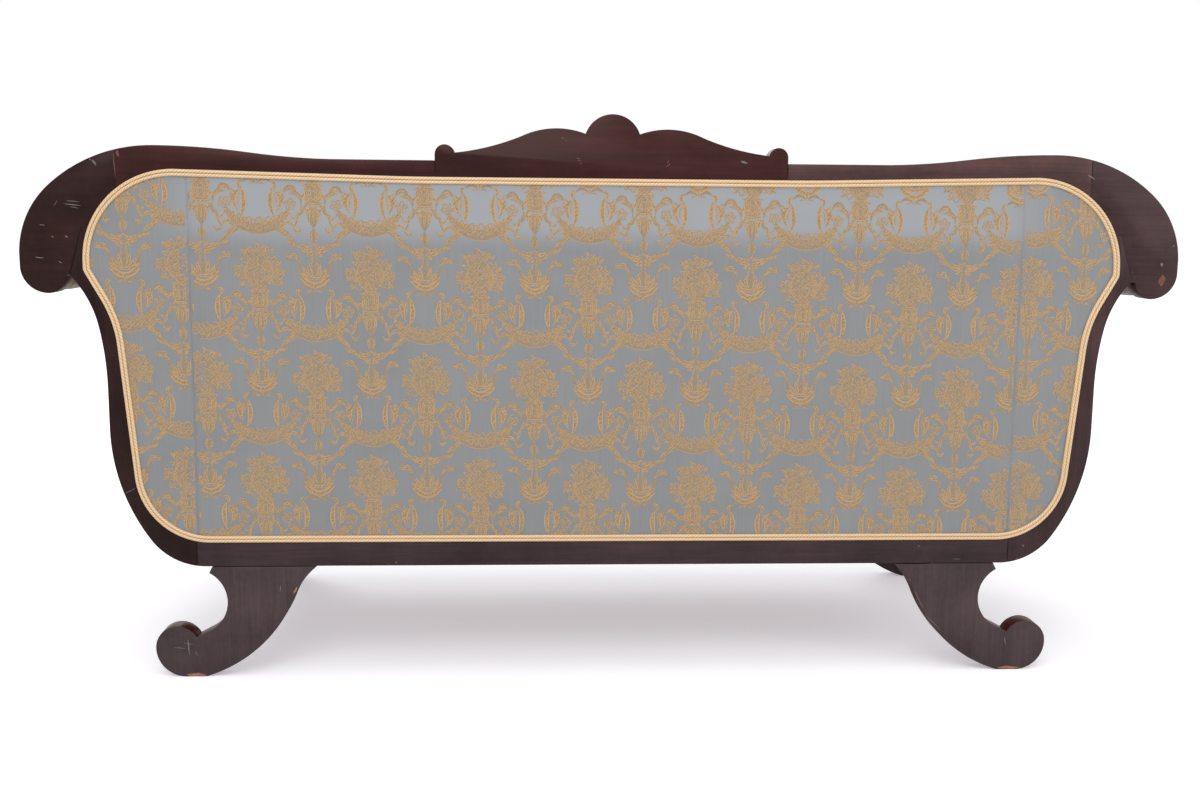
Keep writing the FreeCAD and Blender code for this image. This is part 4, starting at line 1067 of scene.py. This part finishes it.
outerLine = Profile([(699, 204.5), (725, 212), (745, 223), (762, 236), (780, 263), (799, 302), (814, 343),
                     (823, 386), (826, 430), (826, 500), (829, 551), (837, 602), (846, 634), (862, 665),
                     (882, 691)])
armCloth = {
    "cells": (70, 90),
    "frontY": -282.0,
    "wide": 562.0,       # from the front board to the rear one
    "hollow": 1.5,       # how far it sinks between the boards
    "thick": 1.2,
}


def armSheet(name, node):
    across, down = armCloth["cells"]
    bpy.ops.object.select_all(action="DESELECT")
    bpy.ops.mesh.primitive_grid_add(x_subdivisions=across, y_subdivisions=down, size=1)
    piece = bpy.context.active_object
    piece.name = name
    mesh = piece.data
    flats = []
    for v in mesh.vertices:
        y = armCloth["frontY"] + (v.co.x + 0.5) * armCloth["wide"]
        s = (v.co.y + 0.5) * outerLine.total
        p, n = outerLine.at(s)
        sink = armCloth["hollow"] * (1.0 - (abs(y + 1.0) / 281.0) ** 4)
        sink = sink * smoothStep(0, 60, s) * smoothStep(0, 60, outerLine.total - s)
        spot = p - n * sink
        flats.append((y * mm, s * mm))
        v.co = (spot.x * mm, y * mm, spot.y * mm)
    setUv(mesh, flats)
    applyModifier(piece, "SOLIDIFY", thickness=armCloth["thick"] * mm, offset=0.0)
    editAll(piece, bpy.ops.mesh.normals_make_consistent, inside=False)
    piece.data.materials.append(cloth["plain"])
    bpy.ops.object.shade_smooth_by_angle(angle=math.radians(60))
    settle(piece, "figured_cloth", node)
    return piece


armSheetLeft = armSheet("armOutsideLeft", "arm_outside_cover_left")
armSheetRight = mirroredPiece(armSheetLeft, "armOutsideRight", "arm_outside_cover_right")
print("arm sheets made")


# The figure on the pads and the arms, laid on their finished surfaces

rays = {"out": 40.0, "reach": 0.09, "cordReach": 0.055}      # mm over the profile, and how far they go, in m


def ontoProfile(tree, profile, toSpace, uRange, sRange, downwards):
    # rays from outside, along the profile's normal, find the cloth
    def onto(u, v, lift):
        s = profile.total - v / mm if downwards else v / mm
        if not uRange[0] < u < uRange[1] or not sRange[0] < s < sRange[1]:
            return None
        p, n = profile.at(s)
        start, ahead = toSpace(u, p, n, rays["out"])
        hit = tree.ray_cast(start, ahead, rays["reach"])[0]
        return None if hit is None else hit - ahead * lift
    return onto


def alongX(u, p, n, out):
    start = Vector((u, (p.x + n.x * out) * mm, (p.y + n.y * out) * mm))
    return start, Vector((0.0, -n.x, -n.y))


def alongY(u, p, n, out):
    start = Vector(((p.x + n.x * out) * mm, u, (p.y + n.y * out) * mm))
    return start, Vector((-n.x, 0.0, -n.y))


def dress(name, piece, profile, toSpace, uRange, sRange, start, downwards):
    # downwards: the figure's top is at the profile's start
    vRange = (0.0, profile.total * mm)
    onto = ontoProfile(surfaceOf(piece), profile, toSpace, uRange, sRange, downwards)
    yarn = layFigure(name, repeatOrigins(start[0], start[1], uRange, vRange, 0.0), onto, 0.0)
    settle(yarn, "figured_cloth")
    return yarn


dress("seatFigure", seatPiece, seatLine, alongX, (-0.715, 0.715), (4, seatLine.total - 2), (0.0, 0.36), True)
dress("backPadFigure", backPad, backPadLine, alongX, (-0.738, 0.738), (45, backPadLine.total - 30),
      (0.0, 0.23), True)
armYarn = dress("armPadLeftFigure", armPad, armLine, alongY, (-0.268, 0.266), (2, armLine.total - 120),
                (0.0, 0.42), True)
mirroredPiece(armYarn, "armPadRightFigure")
outYarn = dress("armOutsideLeftFigure", armSheetLeft, outerLine, alongY, (-0.268, 0.266),
                (6, outerLine.total - 6), (0.0, 0.27), False)
outYarnRight = mirroredPiece(outYarn, "armOutsideRightFigure")
print("figure laid on the pads")


# The gimp along the arms, the seat and the inside back

def armRun(profile, tree, y, s0, s1, out):
    # heights over the profile, in mm: rays find the cloth, and where one misses, the cord keeps its height
    count = int((s1 - s0) / gimp["coarse"])
    spots = [profile.at(s0 + (s1 - s0) * k / count) for k in range(count + 1)]
    heights = [0.0] * (count + 1)
    if tree is not None:
        for k, (p, n) in enumerate(spots):
            start, ahead = alongY(y * mm, p, n, rays["out"])
            distance = tree.ray_cast(start, ahead, rays["cordReach"])[3]
            heights[k] = None if distance is None else rays["out"] - distance / mm
        for order in (range(count + 1), reversed(range(count + 1))):
            last = None
            for k in order:
                heights[k] = last if heights[k] is None else heights[k]
                last = heights[k]
        for _ in range(4):
            heights = [(heights[max(0, k - 1)] + 2 * heights[k] + heights[min(count, k + 1)]) / 4
                       for k in range(count + 1)]
    points, ups = [], []
    for (p, n), height in zip(spots, heights):
        up = Vector((n.x, 0, n.y))
        points.append(Vector((p.x * mm, y * mm, p.y * mm)) + up * (height + out) * mm)
        ups.append(up)
    return points, ups, False


def mirrorRuns(runs):
    other = []
    flip = Vector((-1, 1, 1))
    for points, ups, closed in runs:
        other.append(([p * flip for p in points], [u * flip for u in ups], closed))
    return runs + other


armTree = surfaceOf(armPad)
for name, node, beside, end in (("armGimpFront", "gimp_arms_front", (-279.0, -273.2), armLine.total - 150),
                                ("armGimpRear", "gimp_arms_rear", (277.0, 271.2), 440)):
    # down to the seat beside the front board, and to the inside back beside the rear one
    runs = []
    for y in beside:
        runs.append(armRun(armLine, armTree, y, 3, end, 1.3))
        runs.append(armRun(outerLine, None, y, 30, outerLine.total - 3, 2.0))
    cordPiece(name, mirrorRuns(runs), node)


def straightRun(start, end, up):
    a, b = Vector(start) * mm, Vector(end) * mm
    count = int((b - a).length / (gimp["coarse"] * mm))
    return [a.lerp(b, k / count) for k in range(count + 1)], [Vector(up)] * (count + 1), False


cordPiece("seatGimp", [straightRun((-710, -309.6, z), (710, -309.6, z), (0, -1, 0)) for z in (292.9, 298.8)],
          "gimp_seat_front")
insideRuns = []
for inset in (0.0, gimp["apart"]):
    corners = [(740 - inset, 824 - inset * 0.6), (722 - inset * 0.6, 839.5 - inset), (700, 850 - inset),
               (672, 856.0 - inset)]
    corners = [(-x, z) for x, z in corners] + corners[::-1]
    spots = evenPath([Vector((x * mm, 0.2787, z * mm)) for x, z in corners], gimp["coarse"] * mm, False)
    insideRuns.append((spots, [Vector((0, -1, 0))] * len(spots), False))
cordPiece("backInsideGimp", insideRuns, "gimp_back_inside")
print("inner gimps laid")


# Joint lines, marks of use and a painted highlight along one leg's inner arris, on the back's polished face, as
# thin slivers lying on it

marks = {
    "face": 314.05,
    # start x, z, end x, z, width, in mm
    "openJoint": [
        (697, 197, 697, 236, 1.1), (-697, 197, -697, 236, 1.3), (498, 193.8, 672, 193.8, 1.2),
        (-560, 193.8, -672, 193.8, 1.0), (-500, 193.6, -562, 193.8, 2.4),
        (291.5, 856, 291.5, 874, 0.9), (-291.5, 856, -291.5, 874, 0.9), (-806, 852, -806, 887, 0.9),
        (868, 748, 885, 685, 1.0),
    ],
    "scuff": [
        (841, 871, 835, 861, 3.0), (846, 873, 842, 868, 1.4), (890, 800, 862, 797, 1.6),
        (886, 805, 864, 803, 1.1), (880, 795, 866, 793, 1.0), (940, 713.5, 925, 712, 1.5),
        (930, 766, 921, 765, 1.2), (890, 749, 886, 745, 2.2), (912, 748, 908, 745, 1.2),
        (902, 707, 897, 704, 1.5), (-935, 717, -938, 711, 4.5), (-957, 747, -953, 744, 1.8),
        (-212, 879, -224, 876, 3.5), (718, 66, 716, 38, 2.4), (741, 52, 722, 50, 1.4),
        (726, 60, 708, 57, 1.0), (706, 46, 702, 36, 1.2), (559, 161, 560, 149, 1.4),
        (813.8, 320, 794, 330, 0.9), (-600, 201, -616, 201, 0.9), (-541, 225, -538, 224, 2.0),
        (-722, 226, -726, 223, 2.0), (-799, 863, -812, 855, 2.6), (-700, 60, -703, 44, 1.6),
        # these two run along the inner arris of the leg at minus x: partly wear, partly painted highlight on that
        # arris
        (-534.2, 146.3, -554, 109.5, 1.0), (-555, 103, -587, 71, 1.0),
    ],
    "filler": [
        (807.3, 886.6, 805.6, 842, 1.7), (801.5, 887.2, 799.5, 875, 4.6), (60, 882, 53, 880, 1.5),
        (58, 878, 50, 876, 1.1), (55, 873, 50, 872, 1.1), (84, 915, 80, 912, 1.3),
        (78, 911, 76, 908, 1.1), (-93, 881, -90, 873, 1.1), (-96, 875, -88, 868, 1.2),
        (899, 806, 906, 795, 1.2),
    ],
    "bareWood": [(-940, 697, -937, 677, 11.0), (365, 200.5, 361, 198.5, 3.0), (-716, 202, -712, 200, 2.6)],
    "rawEdge": [(537.5, 145.5, 531, 157.5, 3.4), (722, 3.6, 688, 3.0, 5.5), (-690, 3.6, -730, 3.6, 4.5)],
}


def markMaterial(name, colour, rough):
    # bare or scratched wood, wax filler, or the dark of an open joint: dry, without the polish
    material, shader = newMaterial(name)
    place = addNode(material, "TexCoord").outputs["Object"]
    grainy = addNode(material, "TexNoise", {"Scale": 900.0, "Detail": 3.0}, {"Vector": place})
    base = hexColour(colour)
    colours = setRamp(addNode(material, "ValToRGB", {}, {"Fac": grainy}),
                      [(0.35, tuple(0.5 * c for c in base[:3]) + (1.0,)), (0.62, base)])
    setNode(material, shader, {"Roughness": rough, "Specular IOR Level": 0.2}, {"Base Color": colours})
    return material


def laySlivers(name, rows, material, shape):
    verts, faces = [], []
    for x0, z0, x1, z1, width in rows:
        size = math.hypot(x1 - x0, z1 - z0)
        ax, az = (x1 - x0) / size, (z1 - z0) / size
        points, polys = strokeShapes[shape]
        first = len(verts)
        for v in points:
            t = v.x + 0.5
            wobble = 0.12 * width * math.sin(9.0 * t + x0)
            x = x0 + (x1 - x0) * t - az * (v.y * width + wobble)
            z = z0 + (z1 - z0) * t + ax * (v.y * width + wobble)
            verts.append((x * mm, (marks["face"] + 0.05 * v.z) * mm, z * mm))
        faces += [[first + i for i in p] for p in polys]
    piece = pieceFrom(name, verts, faces)
    if piece.data.polygons[0].normal.y < 0:
        piece.data.flip_normals()
    piece.data.materials.append(material)
    settle(piece, "mahogany")


for name, rows, finish, colour, rough, shape in (
        ("openJoints", "openJoint", "jointShadow", "#0D0708", 0.9, "band"),
        ("scuffsAndPaintedHighlight", "scuff", "scuffedPolishAndPaintedHighlight", "#857678", 0.6, "leaf"),
        ("waxFiller", "filler", "waxFiller", "#7C5449", 0.7, "leaf"),
        ("bareNicks", "bareWood", "nickedMahogany", "#865648", 0.7, "leaf"),
        ("bareEdges", "rawEdge", "chippedMahogany", "#B98466", 0.8, "leaf")):
    laySlivers(name, marks[rows], markMaterial(finish, colour, rough), shape)
print("marks of use made")


# Webbing and hessian under the seat and behind the back pad

def softCopy(node, name, material, bevel, slotName):
    piece = copyOf(node, name)
    editAll(piece, bpy.ops.mesh.dissolve_limited, angle_limit=math.radians(0.6))
    applyModifier(piece, "BEVEL", width=bevel * mm, segments=2, limit_method="ANGLE",
                  angle_limit=math.radians(50))
    piece.data.materials.append(material)
    bpy.ops.object.shade_smooth_by_angle(angle=math.radians(50))
    settle(piece, slotName, node)
    return piece


webs = {"seat_webbing_long": "seatWebsLong", "seat_webbing_cross": "seatWebsCross", "back_webbing": "backWebs"}
webPieces = [softCopy(node, name, cloth["web"], 0.35, "jute_webbing") for node, name in webs.items()]
seatHessian = softCopy("seat_hessian", "seatHessian", cloth["hessian"], 0.2, "hessian")
backHessian = softCopy("back_hessian", "backHessian", cloth["hessian"], 0.2, "hessian")
print("webbing and hessian made")


# Floor, light and camera

def makeFloor():
    bpy.ops.object.select_all(action="DESELECT")
    bpy.ops.mesh.primitive_plane_add(size=40, location=(0, 0, -0.0002))
    floor = bpy.context.active_object
    floor.name = "studioFloor"
    material, shader = newMaterial("whiteStudioFloor")   # matt white roll of paper
    setNode(material, shader,
            {"Base Color": (0.87, 0.90, 0.89, 1.0), "Roughness": 1.0, "Specular IOR Level": 0.0}, {})
    # painted light: the floor glows for the camera, weaker near the piece and stronger far from it, so the shade
    # near the piece stays dark while the far floor turns white; the glow is lilac to tint that shade, and the base
    # is a little green to keep the lit floor white
    place = addNode(material, "TexCoord").outputs["Object"]
    away = addNode(material, "VectorMath", {"operation": "LENGTH"}, {0: place})
    level = addNode(material, "MapRange", {"From Min": 1.6, "From Max": 5.0, "To Min": 0.41, "To Max": 0.75},
                    {"Value": away.outputs["Value"]})
    paintedFloorGlow = addNode(material, "Emission", {"Color": (0.94, 0.87, 0.965, 1.0)}, {"Strength": level})
    path = addNode(material, "LightPath")
    both = addNode(material, "AddShader", {}, {0: shader, 1: paintedFloorGlow})
    mix = addNode(material, "MixShader", {}, {0: path.outputs["Is Camera Ray"], 1: shader, 2: both})
    setNode(material, material.node_tree.nodes["Material Output"], {}, {"Surface": mix})
    floor.data.materials.append(material)


lamps = {
    "key": {"place": (0.6, 3.2, 3.0), "size": 2.6, "power": 46.0},
    "fill": {"place": (-2.6, 2.4, 1.6), "size": 2.2, "power": 14.0},
    "front": {"place": (0.8, -3.0, 2.6), "size": 2.6, "power": 46.0},
    "top": {"place": (0.0, 0.7, 3.6), "size": 3.0, "power": 25.0},
    "world": 0.64,
}


def makeLights():
    for name in ("key", "fill", "front", "top"):
        light = bpy.data.lights.new(name + "Lamp", "AREA")
        light.shape = "DISK"
        light.size = lamps[name]["size"]
        light.energy = lamps[name]["power"]
        lamp = bpy.data.objects.new(name + "Lamp", light)
        scene.collection.objects.link(lamp)
        lamp.location = lamps[name]["place"]
        lamp.rotation_euler = (Vector((0, 0, 0.45)) - lamp.location).to_track_quat("-Z", "Y").to_euler()
    world = bpy.data.worlds.new("whiteRoom")
    world.use_nodes = True
    scene.world = world
    room = world.node_tree.nodes["Background"]
    setNode(world, room, {"Color": (1, 1, 1, 1), "Strength": lamps["world"]}, {})
    # seen straight, in gloss or through glass the room is plain white
    path = addNode(world, "LightPath")
    seen = addNode(world, "Background", {"Color": (1, 1, 1, 1), "Strength": 1.0})
    first = addNode(world, "Math", {"operation": "MAXIMUM"},
                    {0: path.outputs["Is Camera Ray"], 1: path.outputs["Is Glossy Ray"]})
    second = addNode(world, "Math", {"operation": "MAXIMUM"},
                     {0: first, 1: path.outputs["Is Transmission Ray"]})
    mix = addNode(world, "MixShader", {}, {0: second, 1: room, 2: seen})
    setNode(world, world.node_tree.nodes["World Output"], {}, {"Surface": mix})


view = {
    "lens": 39.0,
    "place": (0.128, 2.483, 0.795),
    "turn": (81.75, -0.505, 177.153),       # degrees
}


def makeCamera():
    data = bpy.data.cameras.new("studioCamera")
    data.sensor_width = 36.0
    data.lens = view["lens"]
    data.clip_end = 100.0
    camera = bpy.data.objects.new("studioCamera", data)
    scene.collection.objects.link(camera)
    camera.location = view["place"]
    camera.rotation_euler = [math.radians(angle) for angle in view["turn"]]
    scene.camera = camera


makeFloor()
makeLights()
makeCamera()
scene.view_settings.view_transform = "Standard"

print("done")
